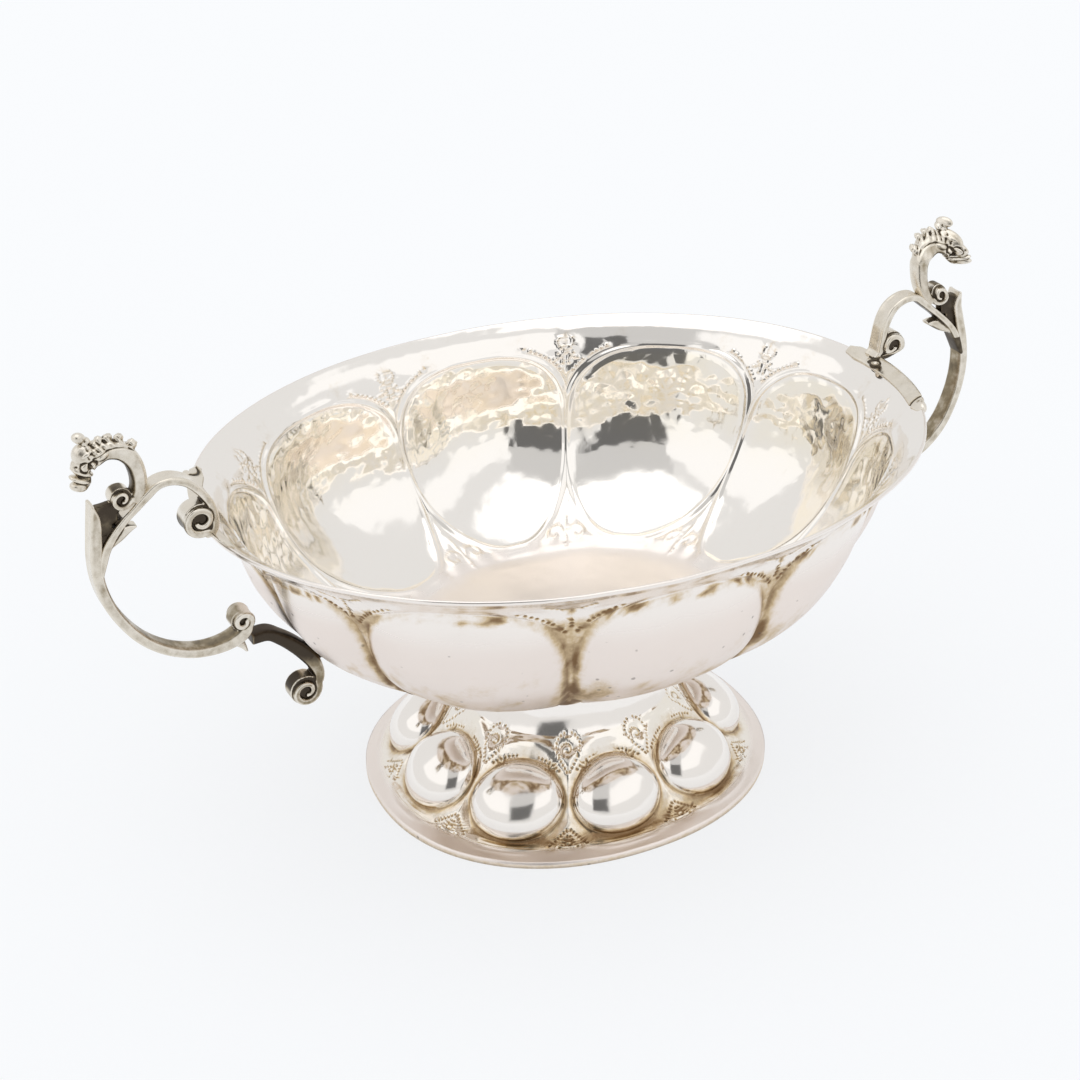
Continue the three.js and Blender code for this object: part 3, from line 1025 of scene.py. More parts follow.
def swept_band(bm: BMesh, table: Array, squareness: float = 4.0, channel: float = 0.0) -> None:
    """Adds a flat bar that follows a line in the handle's plane.

    Args:
        bm: the bmesh that the bar is added to, in millimetres.
        table: rows of out, up, half thickness and half width.
        squareness: exponent of the bar's section.
        channel: how far the middle of its outer face is sunk, in millimetres.
    """
    columns, channel_half = 28, 0.72
    bar, angle, place = turned_bar(len(table), columns)
    run = np.gradient(table[:, :2], axis=0)
    run = (run / np.maximum(np.linalg.norm(run, axis=1), 1e-9)[:, None])[place]
    out, up, thick, wide = table[place].T
    height, across = square_round(angle, squareness)
    sunk = channel * np.clip(1 - (across / channel_half) ** 4, 0, 1)
    height = height * thick - np.where(height > 0.5, sunk, 0)
    set_corners(bar, np.stack([out - run[:, 1] * height, across * wide, up + run[:, 0] * height], axis=1))
    add_shape(bm, bar)


def standing(centre: tuple, tilt: float = 0.0, lateral: float = 0.0) -> Matrix:
    """Place of a shape in the handle's plane, tilted in it, and moved to the side."""
    return Matrix.Translation((centre[0], lateral, centre[1])) @ Matrix.Rotation(tilt, 4, "Y")


def add_ellipsoid(bm: BMesh, place: Matrix, half: tuple) -> None:
    """Adds an ellipsoid of these half sizes."""
    bmesh.ops.create_icosphere(bm, subdivisions=3, radius=1.0, matrix=place @ Matrix.Diagonal((*half, 1.0)))


def add_lump(bm: BMesh, centre: tuple, half: tuple, tilt: float = 0.0, lateral: float = 0.0) -> None:
    """Adds an ellipsoid in the handle's plane, with half sizes out, across and up."""
    add_ellipsoid(bm, standing(centre, tilt, lateral), half)


def add_lock(bm: BMesh, centre: tuple, radii: tuple, height: float, tilt: float) -> None:
    """Adds a blunt six-sided spike, the rough form of a lock of hair.

    Args:
        bm: the bmesh that it is added to.
        centre: out and up of its middle.
        radii: its radius at its root and at its tip.
        height: its length.
        tilt: turn in the handle's plane, in radians.
    """
    bmesh.ops.create_cone(
        bm, cap_ends=True, segments=6, radius1=radii[0], radius2=radii[1], depth=height,
        matrix=standing(centre, tilt))


class Roll(NamedTuple):
    """A band's rolled end, closed by a thin web whose face is painted dark as the shade inside the roll.

    Middle is out and up. Start is the angle in degrees where the band meets the roll, and turns are
    negative for clockwise. Thick and wide are half sizes at its start and at its end. Web is the web's
    radius and half width, and dark the radius of the painted shade on its face.
    """

    middle: tuple
    radius: float
    start: float
    turns: float
    thick: tuple
    wide: tuple
    web: tuple
    dark: float

    def spiral(self) -> Array:
        """The line that the band is rolled along, from the roll's start inwards.

        Returns:
            Rows of out, up, half thickness and half width.
        """
        samples_per_turn, core_share, core_inset = 44, 0.24, 0.25
        share = np.linspace(0, 1, int(samples_per_turn * abs(self.turns)))
        angle = np.radians(self.start) + share * self.turns * math.tau
        reach = (self.radius - self.thick[0]) * (1 - share) + core_share * self.radius * share
        out, up = self.middle[0] + reach * np.cos(angle), self.middle[1] + reach * np.sin(angle)
        half = self.thick[0] + (self.thick[1] - self.thick[0]) * share
        width = self.wide[0] + (self.wide[1] - self.wide[0]) * ease(share, 0.0, 0.25)
        return np.stack([out, up, half, width - core_inset * ease(share, 0.55, 1.0)], axis=1)

    def fill(self, bm: BMesh) -> None:
        """Adds the web, a sheet across the roll that carries its painted shade.

        Args:
            bm: the bmesh that it is added to.
        """
        radius, half_width = self.web
        flat = standing(self.middle) @ Matrix.Rotation(math.pi / 2, 4, "X")
        bmesh.ops.create_cone(
            bm, cap_ends=True, segments=40, radius1=radius, radius2=radius, depth=2 * half_width, matrix=flat)

    @property
    def shade_patch(self) -> tuple:
        """Out, up, radius and half width of the painted shade on the web's face."""
        return (*self.middle, self.dark, self.web[1] + 0.2)


class Skin:
    """The corners of a fused mesh as arrays, in millimetres."""

    smoothings = 2
    fine_rings = 4
    broad_rings = 14

    def __init__(self, mesh: bpy.types.Mesh) -> None:
        """Reads a mesh's corners, their normals and its edges.

        Args:
            mesh: the mesh, which the skin keeps.
        """
        self.mesh = mesh
        self.points = self.read(mesh.vertices, "co")
        edges = np.empty(len(mesh.edges) * 2, dtype=np.int32)
        mesh.edges.foreach_get("vertices", edges)
        self.edges = edges.reshape(-1, 2)
        self.degree = np.maximum(np.bincount(edges, minlength=len(self.points)), 1)[:, None]
        self.normals = self.read(mesh.vertex_normals, "vector")

    @classmethod
    def fused(cls, bm: BMesh, voxel: float) -> "Skin":
        """Melts overlapping shapes into one skin, and smooths it.

        Args:
            bm: the shapes, in millimetres. It is freed.
            voxel: size of the grid that they are melted on.

        Returns:
            The skin.
        """
        rough = bpy.data.meshes.new("rough")
        bm.to_mesh(rough)
        bm.free()
        thing = linked("rough", rough)
        melt = thing.modifiers.new("melt", "REMESH")
        melt.mode = "VOXEL"
        melt.voxel_size = voxel
        mesh = bpy.data.meshes.new_from_object(thing.evaluated_get(bpy.context.evaluated_depsgraph_get()))
        bpy.data.objects.remove(thing)
        bpy.data.meshes.remove(rough)
        shell = bmesh.new()
        shell.from_mesh(mesh)
        for _ in range(cls.smoothings):
            bmesh.ops.smooth_vert(
                shell, verts=shell.verts, factor=0.5, use_axis_x=True, use_axis_y=True, use_axis_z=True)
        outward(shell)
        shell.to_mesh(mesh)
        shell.free()
        return cls(mesh)

    @staticmethod
    def read(rows: bpy.types.bpy_prop_collection, name: str) -> Array:
        """Reads a vector of each row.

        Args:
            rows: a mesh's corners or their normals.
            name: the vector's name.

        Returns:
            An array of three columns.
        """
        values = np.empty(len(rows) * 3)
        rows.foreach_get(name, values)
        return values.reshape(-1, 3)

    def hollows(self, rounds: int) -> Array:
        """How hollow the metal is about each corner.

        Args:
            rounds: how many rings of neighbours count.

        Returns:
            Millimetres per corner; edges and knobs are below 0.
        """
        wide = self.points
        for _ in range(rounds):
            total = np.zeros_like(wide)
            np.add.at(total, self.edges[:, 0], wide[self.edges[:, 1]])
            np.add.at(total, self.edges[:, 1], wide[self.edges[:, 0]])
            wide = total / self.degree
        return np.einsum("ij,ij->i", wide - self.points, self.normals)

    def write(self) -> None:
        """Puts the corners back and reads the new normals."""
        self.mesh.vertices.foreach_set("co", self.points.ravel())
        self.mesh.update()
        self.normals = self.read(self.mesh.vertex_normals, "vector")

    def press(self, depth: Array) -> None:
        """Pushes each corner in along its normal."""
        self.points -= self.normals * depth[:, None]
        self.write()

    def tarnish(
        self, hearts: Sequence[tuple] = (), deep: float = 1.0, shade: float = 1.0, base: float = 0.05,
        shade_patches: Sequence[tuple] = ()
    ) -> Marks:
        """Marks for a cast part: dark tarnish in hollows, and painted shade on the faces that look in at
        the middle of a loop.

        Args:
            hearts: middles of the loops, out and up.
            deep: factor on the tarnish in hollows.
            shade: factor on the painted shade of the faces that look in.
            base: tarnish everywhere but on worn edges.
            shade_patches: out, up, radius and half width of the places painted dark as shade.

        Returns:
            The marks for the finish.
        """
        loop_reach = 34.0
        p, n = self.points, self.normals
        fine, broad = self.hollows(self.fine_rings), self.hollows(self.broad_rings)
        blotch = patchy(p, 3.0, 21)
        streak = patchy(p * np.array([1.0, 1.0, 0.5]), 1.1, 22)
        inner = np.zeros(len(p))
        # Painted shade: faces that look in at a loop's middle are darkened as if the loop shaded them.
        for out, up in hearts:
            way = np.stack([out - p[:, 0], up - p[:, 2]], axis=1)
            far = np.maximum(np.linalg.norm(way, axis=1), 1e-6)
            facing = (way[:, 0] * n[:, 0] + way[:, 1] * n[:, 2]) / far
            inner = np.maximum(inner, ease(facing, 0.35, 0.8) * (far < loop_reach))
        worn = ease(-fine, 0.01, 0.05)
        tarnish_and_shade = deep * (0.9 * ease(broad, 0.01, 0.14) + 0.5 * ease(fine, 0.008, 0.06))
        tarnish_and_shade = np.clip(tarnish_and_shade + shade * inner * (0.45 + 0.45 * blotch), 0, 1) * (1 - 0.75 * worn)
        # Painted shade: the given patches are darkened to stand in for shade.
        for out, up, radius, half_width in shade_patches:
            within = (np.hypot(out - p[:, 0], up - p[:, 2]) < radius) & (np.abs(p[:, 1]) < half_width)
            tarnish_and_shade = np.maximum(tarnish_and_shade, within * (0.55 + 0.35 * blotch))
        sides = ease(np.abs(n[:, 1]), 0.5, 0.9)
        tarnish_and_shade = tarnish_and_shade + (1 - worn) * (base + 0.2 * blotch * streak + sides * (0.08 + 0.3 * blotch * streak))
        return {"tarnish_and_shade": tarnish_and_shade, "warm": 0.15 + 0.35 * blotch, "matt": np.full(len(p), 0.75)}

    def finish(self, name: str, marks: Marks) -> Object:
        """Makes the finished object, with its marks as attributes.

        Args:
            name: the object's name.
            marks: the finish's marks.

        Returns:
            The object.
        """
        self.write()
        for mark, values in marks.items():
            layer = self.mesh.attributes.new(mark, "FLOAT", "POINT")
            layer.data.foreach_set("value", np.clip(values, 0, 1).astype(np.float32))
        bm = bmesh.new()
        bm.from_mesh(self.mesh)
        bpy.data.meshes.remove(self.mesh)
        return finish_mesh(bm, name)


@dataclass(frozen=True)
class Bend:
    """How one handle stands, and how its casting was bent.

    half_turn is in degrees. reach and lean are how far its lower half stands out and leans over,
    head_lean and head_back how far its head leans over and is bent back, jaw how deep its jaw is, sag
    how far the roll at its root hangs out and down, and bead the bead's place out of the rim and up.
    """

    half_turn: float
    reach: float
    lean: float
    head_lean: float
    head_back: float
    jaw: float
    sag: tuple
    bead: tuple


class Side(Enum):
    """Which end of the bowl a handle stands at."""

    RIGHT = Bend(
        half_turn=0.0, reach=4.0, lean=-4.0, head_lean=1.0, head_back=0.07, jaw=0.5, sag=(1.5, 0.0, -1.0),
        bead=(-0.2, 82.7))
    LEFT = Bend(
        half_turn=180.0, reach=0.0, lean=0.0, head_lean=0.0, head_back=0.0, jaw=1.0, sag=(0.0, 0.0, 0.0),
        bead=(1.4, 82.0))


@dataclass
class ScrollHandle:
    """A cast handle: an arm over the rim, a grip with a scroll, a bracket, a beast's head and a rim strip.

    Lines are drawn as hundredths of the bowl's half length out, hundredths of its depth up, and half the
    thickness in millimetres. The neck and everything on the head are in millimetres from its root: locks
    with their tilt; lumps of the skull, jaws and cheeks with half sizes, tilt and way to the side; and
    rings cut round eyes and into nostrils, with radius, width, depth and where they start to the side.
    """

    side: Side
    rim: Oval
    reach: float = 82.0
    base: float = FOOT_TOP
    depth: float = 46.3
    turn: float = 3.21
    spread_from: float = 121.0
    spread_over: float = 78.0
    band_half: float = 2.1
    roll_half: float = 2.7
    band_squareness: float = 4.5
    side_band_squareness: float = 3.0
    channel: float = 0.22
    voxel: float = 0.165
    head_voxel: float = 0.13
    strap_half: float = 1.55
    strap_thick: float = 0.5
    strap_inset: float = 1.0
    strap_height: float = 82.9
    strap_from: float = -26.0
    strap_span: float = 33.0
    bead_from: float = -24.0
    bead_half: tuple = (1.15, 2.2, 1.25)
    lip_slope: float = 0.6
    knob: tuple = (79.3, -3.7, 83.5)
    arm_line: tuple = (
        (100.9, 101.4, 0.8), (99, 104.5, 0.9), (98.7, 110.6, 0.9), (99.6, 117.1, 0.9), (101.7, 123.5, 0.9),
        (104.8, 129.2, 0.9), (108.4, 131.7, 0.9), (111.7, 131.1, 0.9), (114.3, 127.9, 0.95),
        (117.2, 123.6, 0.85), (120.6, 118.6, 0.8), (123.6, 112.8, 0.9), (125.7, 107, 1.0), (126.9, 101, 0.9),
        (127.8, 95, 0.6))
    leaf_line: tuple = ((124.8, 108.6, 0.9), (122.4, 111.6, 1.4), (119.9, 113.7, 1.05), (117.6, 114.4, 0.3))
    web_lines: tuple = (
        ((126.9, 125.4, 0.9), (124.4, 124.4, 1.5), (121.2, 125.4, 1.3)),
        ((127.4, 121.4, 1.8), (124.6, 121, 1.9), (121.8, 120.8, 1.6)),
        ((127.8, 116.4, 1.7), (125.6, 116.2, 1.8), (123.4, 116, 1.5)),
        ((128, 111.4, 1.4), (126.6, 111.2, 1.5), (125, 111, 1.2)),
        ((128.2, 106.4, 1.4), (127.3, 106.2, 1.4), (126.2, 106, 1.2)))
    grip_line: tuple = (
        (127.6, 128.7, 0.35), (127.3, 122.2, 1.1), (127.8, 112.3, 1.3), (128.4, 102.4, 1.3),
        (128.2, 91.6, 1.25), (126.7, 80.8, 1.2), (123.9, 70, 1.15), (120, 60, 1.15), (115.4, 52.5, 1.15),
        (110.5, 47.5, 1.15), (105.9, 44.9, 1.2), (101.2, 44.3, 1.3), (97.3, 45.4, 1.5), (94.4, 47.9, 1.6),
        (92.7, 51.4, 1.4))
    bracket_line: tuple = (
        (92.2, 43.6, 1.2), (87.7, 43.4, 1.3), (84.4, 39.3, 1.4), (81.2, 34.1, 1.6), (78.3, 28.1, 1.7),
        (76.1, 22, 1.6), (75, 15.6, 1.3), (75.5, 9.9, 1.2))
    spur_line: tuple = ((77.6, 30.7, 1.2), (74.6, 25.9, 1), (71.1, 20.3, 0.35))
    thorn_line: tuple = ((95.4, 43.8, 1.3), (94.1, 40.2, 0.7), (93.2, 36.7, 0.25))
    neck_line: tuple = (
        (2.2, -0.6, 1.3), (1.2, 2, 1.5), (1.2, 5, 1.6), (2.1, 8, 1.7), (4.1, 10.2, 1.8), (6.9, 11, 1.9),
        (9.5, 10, 2), (10.6, 8.7, 1.6))
    locks: tuple = ((2.0, 10.4, -0.85), (4.1, 11.8, -0.25), (6.1, 12.3, -0.15), (8.1, 12.4, -0.6))
    skull: tuple = (
        ((10.3, 13.4), (1.1, 1.0, 0.9), 0.4), ((11.4, 14.5), (1.35, 1.2, 1.05), -0.3),
        ((10.8, 10.9), (2.4, 2.0, 2.4), 0.2), ((11.5, 8.8), (2.1, 1.75, 2.0), 0.0))
    jaws: tuple = (
        ((11.6, 7.6), (2.4, 1.8, 0.72), -0.5), ((12.1, 6.0), (2.3, 1.6, 0.66), -0.45),
        ((12.5, 4.6), (1.8, 1.45, 1.05), -0.3), ((11.4, 5.9), (1.45, 0.95, 2.2), 0.0))
    rings: tuple = (
        ((9.7, 9.1), 0.85, 0.28, 0.4, 1.0), ((11.2, 8.9), 1.05, 0.22, 0.22, 1.0),
        ((12.9, 9.2), 0.0, 0.4, 0.4, 0.6))
    lock_spacing: float = 1.15
    cheeks: tuple = (
        ((8.0, 10.8), (1.4, 0.8, 1.0), 0.35, 1.8), ((9.7, 9.1), (0.5, 0.45, 0.5), 0.0, 1.85),
        ((10.7, 11.6), (1.2, 0.5, 0.45), 0.5, 1.7), ((11.2, 8.9), (0.9, 0.5, 0.8), 0.0, 1.6))

    def __post_init__(self) -> None:
        """Looks up the side's bend, and finds where the head stands on the arm."""
        self.bend = self.side.value
        self.head_root = self.on_handle(114.3, 127.9)

    def on_handle(self, out: float, up: float) -> tuple[float, float]:
        """Millimetres out and up of a place drawn in hundredths."""
        return self.reach * out / 100, self.base + self.depth * up / 100

    def drawn(self, line: tuple, wide: float | tuple, count: int) -> Array:
        """Samples a drawn line.

        Args:
            line: its points in hundredths.
            wide: half width, one number or one for each end.
            count: number of samples.

        Returns:
            Rows of out, up, half thickness and half width.
        """
        table = smooth_line([(*self.on_handle(out, up), half) for out, up, half in line], count)
        ends = wide if isinstance(wide, tuple) else (wide, wide)
        return np.column_stack([table, np.linspace(*ends, count)])

    def settle(self, skin: Skin, spread: float | Array = 1.0, head: bool = False) -> None:
        """Bends a part as the real one is bent, and turns it to its end of the bowl.

        Args:
            skin: the part.
            spread: how much of the lower half's bend it takes.
            head: whether it leans as the head does.
        """
        bend, p = self.bend, skin.points
        up = 100 * (p[:, 2] - self.base) / self.depth
        share = spread * np.clip(self.spread_from - up, 0, None) / self.spread_over
        p[:, 0] += bend.reach * share
        p[:, 1] += bend.lean * share
        if head:
            rise = p[:, 2] - self.head_root[1]
            over = np.clip(rise / 8, 0, 1) * 3 + np.clip(rise - 9, 0, None) * 0.75
            p[:, 1] += bend.head_lean * (over - np.clip(p[:, 0] - self.head_root[0] - 10, 0, None) * 0.9)
            p[:, 0] -= bend.head_back * np.clip(rise, 0, None)
            p[:, 2] += bend.head_back * (p[:, 0] - self.head_root[0]) * np.clip(rise / 6, 0, 1)
        turn = Matrix.Rotation(math.radians(self.turn + bend.half_turn), 3, "Z")
        skin.points = p @ np.array(turn).T

    def bands(self, roll: Roll, band: Array, side_bands: Sequence[Array], channel: float) -> BMesh:
        """The shapes of one casting, still apart.

        Args:
            roll: the main band's rolled end.
            band: the main band's table.
            side_bands: the tables of the bands that grow out of it.
            channel: how far the middle of its outer face is sunk.

        Returns:
            The shapes in one bmesh.
        """
        bm = bmesh.new()
        swept_band(bm, band, self.band_squareness, channel)
        roll.fill(bm)
        for side_band in side_bands:
            swept_band(bm, side_band, self.side_band_squareness)
        return bm

    def build_arm(self) -> Object:
        """The arm: from the roll on the rim, over, and down to the grip, with its leaf.

        Returns:
            The object.
        """
        ends = (self.band_half, self.roll_half)
        roll = Roll(
            self.on_handle(102.4, 110.4), radius=4.25, start=-112, turns=1.25, thick=(0.95, 0.55), wide=ends,
            web=(3.5, 1.7), dark=3.3)
        band = np.vstack([roll.spiral()[::-1], self.drawn(self.arm_line, self.band_half, 90)[1:]])
        webs = [self.drawn(line, 1.15, 14) for line in self.web_lines]
        bm = self.bands(roll, band, [self.drawn(self.leaf_line, (1.9, 1.2), 24), *webs], self.channel)
        knob_out, knob_side, knob_up = self.knob
        if self.side is Side.RIGHT:
            add_lump(bm, (knob_out, knob_up), (1.25, 1.25, 1.0), 0.0, knob_side)
            add_lump(bm, (knob_out + 1.7, knob_up - 0.3), (2.1, 2.4, 0.55), 0.0, knob_side + 1.7)
        skin = Skin.fused(bm, self.voxel)
        from_knob = skin.points - np.array([knob_out, knob_side, knob_up + 0.8])
        skin.press(0.35 * hump(np.linalg.norm(from_knob, axis=1), 0.75, 0.3))
        # Painted shadow: patches behind the leaf are darkened as the leaf's shade.
        leaf_shadows = [(*self.on_handle(124.9, 121), 3.4, 1.35), (*self.on_handle(125.9, 114), 2.2, 1.35)]
        marks = skin.tarnish([self.on_handle(110, 106)], shade_patches=[roll.shade_patch, *leaf_shadows])
        # Painted shade: the low part of the arm's side near the rim, round the knob, is darkened as shade.
        out, side, up = skin.points.T
        beside_knob = np.hypot(out - knob_out, side - knob_side) > 0.9
        marks["tarnish_and_shade"] = np.maximum(marks["tarnish_and_shade"], 0.8 * (side < -1.2) * (up < 84.5) * beside_knob)
        sag = ease(-out, -95.0, -86.0) * ease(-up, -96.0, -88.0) * ease(up, 83.4, 86.5)
        skin.points += np.outer(sag, self.bend.sag)
        self.settle(skin, spread=ease(skin.points[:, 0], 97.0, 101.5))
        return skin.finish(self.node("arm"), marks)

    def build_grip(self) -> Object:
        """The grip: from its pointed top down and in to the scroll beside the bowl, with a thorn.

        Returns:
            The object.
        """
        ends = (self.band_half, self.roll_half - 0.1)
        roll = Roll(
            self.on_handle(94.3, 54.9), radius=2.95, start=222, turns=-1.2, thick=(0.85, 0.5), wide=ends,
            web=(2.4, 1.6), dark=2.2)
        band = np.vstack([self.drawn(self.grip_line, self.band_half, 110)[:-2], roll.spiral()])
        thorn = self.drawn(self.thorn_line, (1.5, 0.5), 20)
        skin = Skin.fused(self.bands(roll, band, [thorn], self.channel), self.voxel)
        marks = skin.tarnish([self.on_handle(112, 84)], shade=0.6, shade_patches=[roll.shade_patch])
        self.settle(skin)
        return skin.finish(self.node("grip"), marks)

    def build_bracket(self) -> Object:
        """The bracket under the grip, with a spur against the bowl and a scroll at its end.

        Returns:
            The object.
        """
        ends = (self.band_half, self.roll_half)
        roll = Roll(
            self.on_handle(79.1, 8.9), radius=4.1, start=165, turns=1.3, thick=(0.95, 0.5), wide=ends,
            web=(3.4, 1.7), dark=3.2)
        band = np.vstack([self.drawn(self.bracket_line, self.band_half, 60)[:-3], roll.spiral()])
        spur = self.drawn(self.spur_line, (1.8, 0.6), 24)
        skin = Skin.fused(self.bands(roll, band, [spur], 0.0), self.voxel)
        marks = skin.tarnish([self.on_handle(86, 22)], base=0.3, shade_patches=[roll.shade_patch])
        marks["tarnish_and_shade"] += 0.6 * ease(skin.points[:, 2], 45.0, 51.0)
        self.settle(skin)
        return skin.finish(self.node("bracket"), marks)

    def build_head(self) -> Object:
        """The beast's head on its arched neck, with a comb of locks and a scroll at its root.

        Returns:
            The object.
        """
        bm = bmesh.new()
        rx, rz = self.head_root
        neck = smooth_line([(rx + x, rz + z, half) for x, z, half in self.neck_line], 70)
        neck = np.column_stack([neck, np.linspace(1.9, 2.05, 70)])
        roll = Roll(
            (rx + 5.2, rz + 0.6), radius=2.75, start=200, turns=1.2, thick=(0.7, 0.45), wide=(1.9, 2.4),
            web=(2.2, 1.4), dark=2.1)
        swept_band(bm, np.vstack([roll.spiral()[::-1], neck[1:]]), 3.2)
        roll.fill(bm)
        for x, z, tilt in self.locks:
            add_lock(bm, (rx + x, rz + z), (1.7, 0.75), 3.2, tilt)
        for (x, z), half, tilt in self.skull:
            add_lump(bm, (rx + x, rz + z), half, tilt)
        jaw, jaw_top = self.bend.jaw, 8.4
        for (x, z), half, tilt in self.jaws:
            size = (half[0], half[1], half[2] * (0.4 + 0.6 * jaw))
            add_lump(bm, (rx + x - 0.5 * (1 - jaw), rz + jaw_top - (jaw_top - z) * jaw), size, tilt * jaw)
        for way in (-1, 1):
            for (x, z), half, tilt, lateral in self.cheeks:
                add_lump(bm, (rx + x, rz + z), half, tilt, way * lateral)
        skin = Skin.fused(bm, self.head_voxel)
        skin.press(self.head_lines(skin.points - np.array([rx, 0.0, rz])))
        marks = skin.tarnish([(rx + 6, rz + 5.2)], 1.15, shade_patches=[roll.shade_patch])
        self.settle(skin, spread=0.0, head=True)
        return skin.finish(self.node("head"), marks)

    def head_lines(self, points: Array) -> Array:
        """The lines cut round the eyes and ears, in the nostrils and the locks, and under the mane.

        Args:
            points: corners of the head, from its root.

        Returns:
            How deep each corner is pressed.
        """
        u, w, side = points[:, 0], points[:, 2], np.abs(points[:, 1])
        depth = np.zeros(len(points))
        for (x, z), radius, width, cut, off_middle in self.rings:
            depth += cut * hump(np.hypot(u - x, w - z), radius, width) * (side > off_middle)
        from_neck = np.hypot(u - 5.6, w - 4.9)
        on_locks = ease(from_neck, 6.9, 7.3) * (u < 10.6) * (w > 8) * (side > 0.3)
        depth += 0.09 * on_locks * np.sin((u * 0.8 - w * 0.75) * math.tau / self.lock_spacing)
        return depth + 0.25 * hump(from_neck, 6.75, 0.25) * (u < 9.8) * (w > 5) * (side > 1.2)

    def build_strip(self) -> Object:
        """The strip soldered along the rim below the handle, with its bead.

        Returns:
            The object.
        """
        rim, count = self.rim, 90
        arc = math.radians(self.turn + self.bend.half_turn)
        middle = math.atan2(math.sin(arc) / rim.width, math.cos(arc) / rim.length)
        share = np.linspace(0, 1, count)
        angle = middle + np.radians(self.strap_from + share * self.strap_span)
        taper = (0.45 + 0.55 * ease(share, 0.0, 0.1)) * (0.6 + 0.4 * (1 - ease(share, 0.9, 1.0)))
        bm, round_angle, i = turned_bar(count, 20)
        out, up = square_round(round_angle, 4.0)
        out, up = out * self.strap_half * taper[i], up * self.strap_thick * taper[i]
        x, y = rim.place(angle[i], 1 - self.strap_inset / (rim.length / 2))
        away = np.stack([x / rim.length**2, y / rim.width**2])
        away = away / np.linalg.norm(away, axis=0) * out
        height = self.strap_height + self.lip_slope * out + up
        set_corners(bm, np.stack([x + away[0], y + away[1], height], axis=1))
        bead_angle = middle + math.radians(self.bead_from)
        bead_out, bead_up = self.bend.bead
        bx, by = rim.place(bead_angle, 1 + bead_out / (rim.length / 2))
        place = Matrix.Translation((bx, by, bead_up)) @ Matrix.Rotation(bead_angle, 4, "Z")
        add_ellipsoid(bm, place, self.bead_half)
        skin = Skin.fused(bm, self.voxel)
        from_bead = np.hypot(skin.points[:, 0] - bx, skin.points[:, 1] - by)
        skin.press(0.3 * hump(from_bead, 2.75, 0.3))
        marks = skin.tarnish()
        marks["tarnish_and_shade"] = np.clip(marks["tarnish_and_shade"] + 0.6 * hump(from_bead, 2.8, 0.4), 0, 1)
        return skin.finish(self.node("rim_strip"), marks)

    def node(self, part: str) -> str:
        """The node that a part stands for."""
        return self.side.name.lower() + "_" + part

    def build(self, silver: Material) -> list[Object]:
        """Builds and dresses the handle's five castings.

        Args:
            silver: their finish.

        Returns:
            The objects.
        """
        makers = {"arm": self.build_arm, "grip": self.build_grip, "bracket": self.build_bracket,
                  "head": self.build_head, "rim_strip": self.build_strip}
        pieces = [dress(make(), silver, self.node(part)) for part, make in makers.items()]
        for piece in pieces:
            piece.name = "cast_" + piece.name
        return pieces


# Finishes


def linear(colour: str) -> tuple:
    """Turns an sRGB hex colour into linear RGBA."""
    channels = [int(colour[k:k + 2], 16) / 255 for k in (1, 3, 5)]
    return tuple(c / 12.92 if c <= 0.04045 else ((c + 0.055) / 1.055) ** 2.4 for c in channels) + (1.0,)


def add_node(tree: Tree, kind: str, settings: dict | None = None) -> bpy.types.Node:
    """Adds a node with its settings and links.

    Args:
        tree: the node tree.
        kind: the shader node's type.
        settings: property name, or input name or number, to a value or to the socket that feeds it.

    Returns:
        The node.
    """
    node = tree.nodes.new("ShaderNode" + kind)
    for key, value in (settings or {}).items():
        if isinstance(value, Socket):
            tree.links.new(value, node.inputs[key])
        elif isinstance(key, int) or key in node.inputs:
            node.inputs[key].default_value = value
        else:
            setattr(node, key, value)
    return node


def worked_out(tree: Tree, operation: str, *values: float | Socket, clamp: bool = False) -> Socket:
    """The result of a sum of one, two or three numbers or sockets."""
    settings = {"operation": operation, "use_clamp": clamp}
    return add_node(tree, "Math", settings | dict(enumerate(values))).outputs[0]


def remapped(
    tree: Tree, value: Socket, span: tuple, result: tuple = (0.0, 1.0), smooth: bool = False
) -> Socket:
    """A value stretched from one span to another, and held at its ends.

    Args:
        tree: the node tree.
        value: the value.
        span: where it starts and ends.
        result: what it becomes there.
        smooth: whether it eases in and out.

    Returns:
        The result's socket.
    """
    settings = {"interpolation_type": "SMOOTHSTEP" if smooth else "LINEAR", "Value": value}
    ends = {"From Min": span[0], "From Max": span[1], "To Min": result[0], "To Max": result[1]}
    return add_node(tree, "MapRange", settings | ends).outputs["Result"]


def mixed(tree: Tree, share: Socket, first: tuple | Socket, second: tuple | Socket) -> Socket:
    """A colour between two others, the second where share is 1."""
    return add_node(tree, "Mix", {"data_type": "RGBA", 0: share, 6: first, 7: second}).outputs[2]


def blended(tree: Tree, share: Socket, first: float | Socket, second: float | Socket) -> Socket:
    """A number between two others, the second where share is 1."""
    return add_node(tree, "Mix", {"data_type": "FLOAT", 0: share, 2: first, 3: second}).outputs[0]


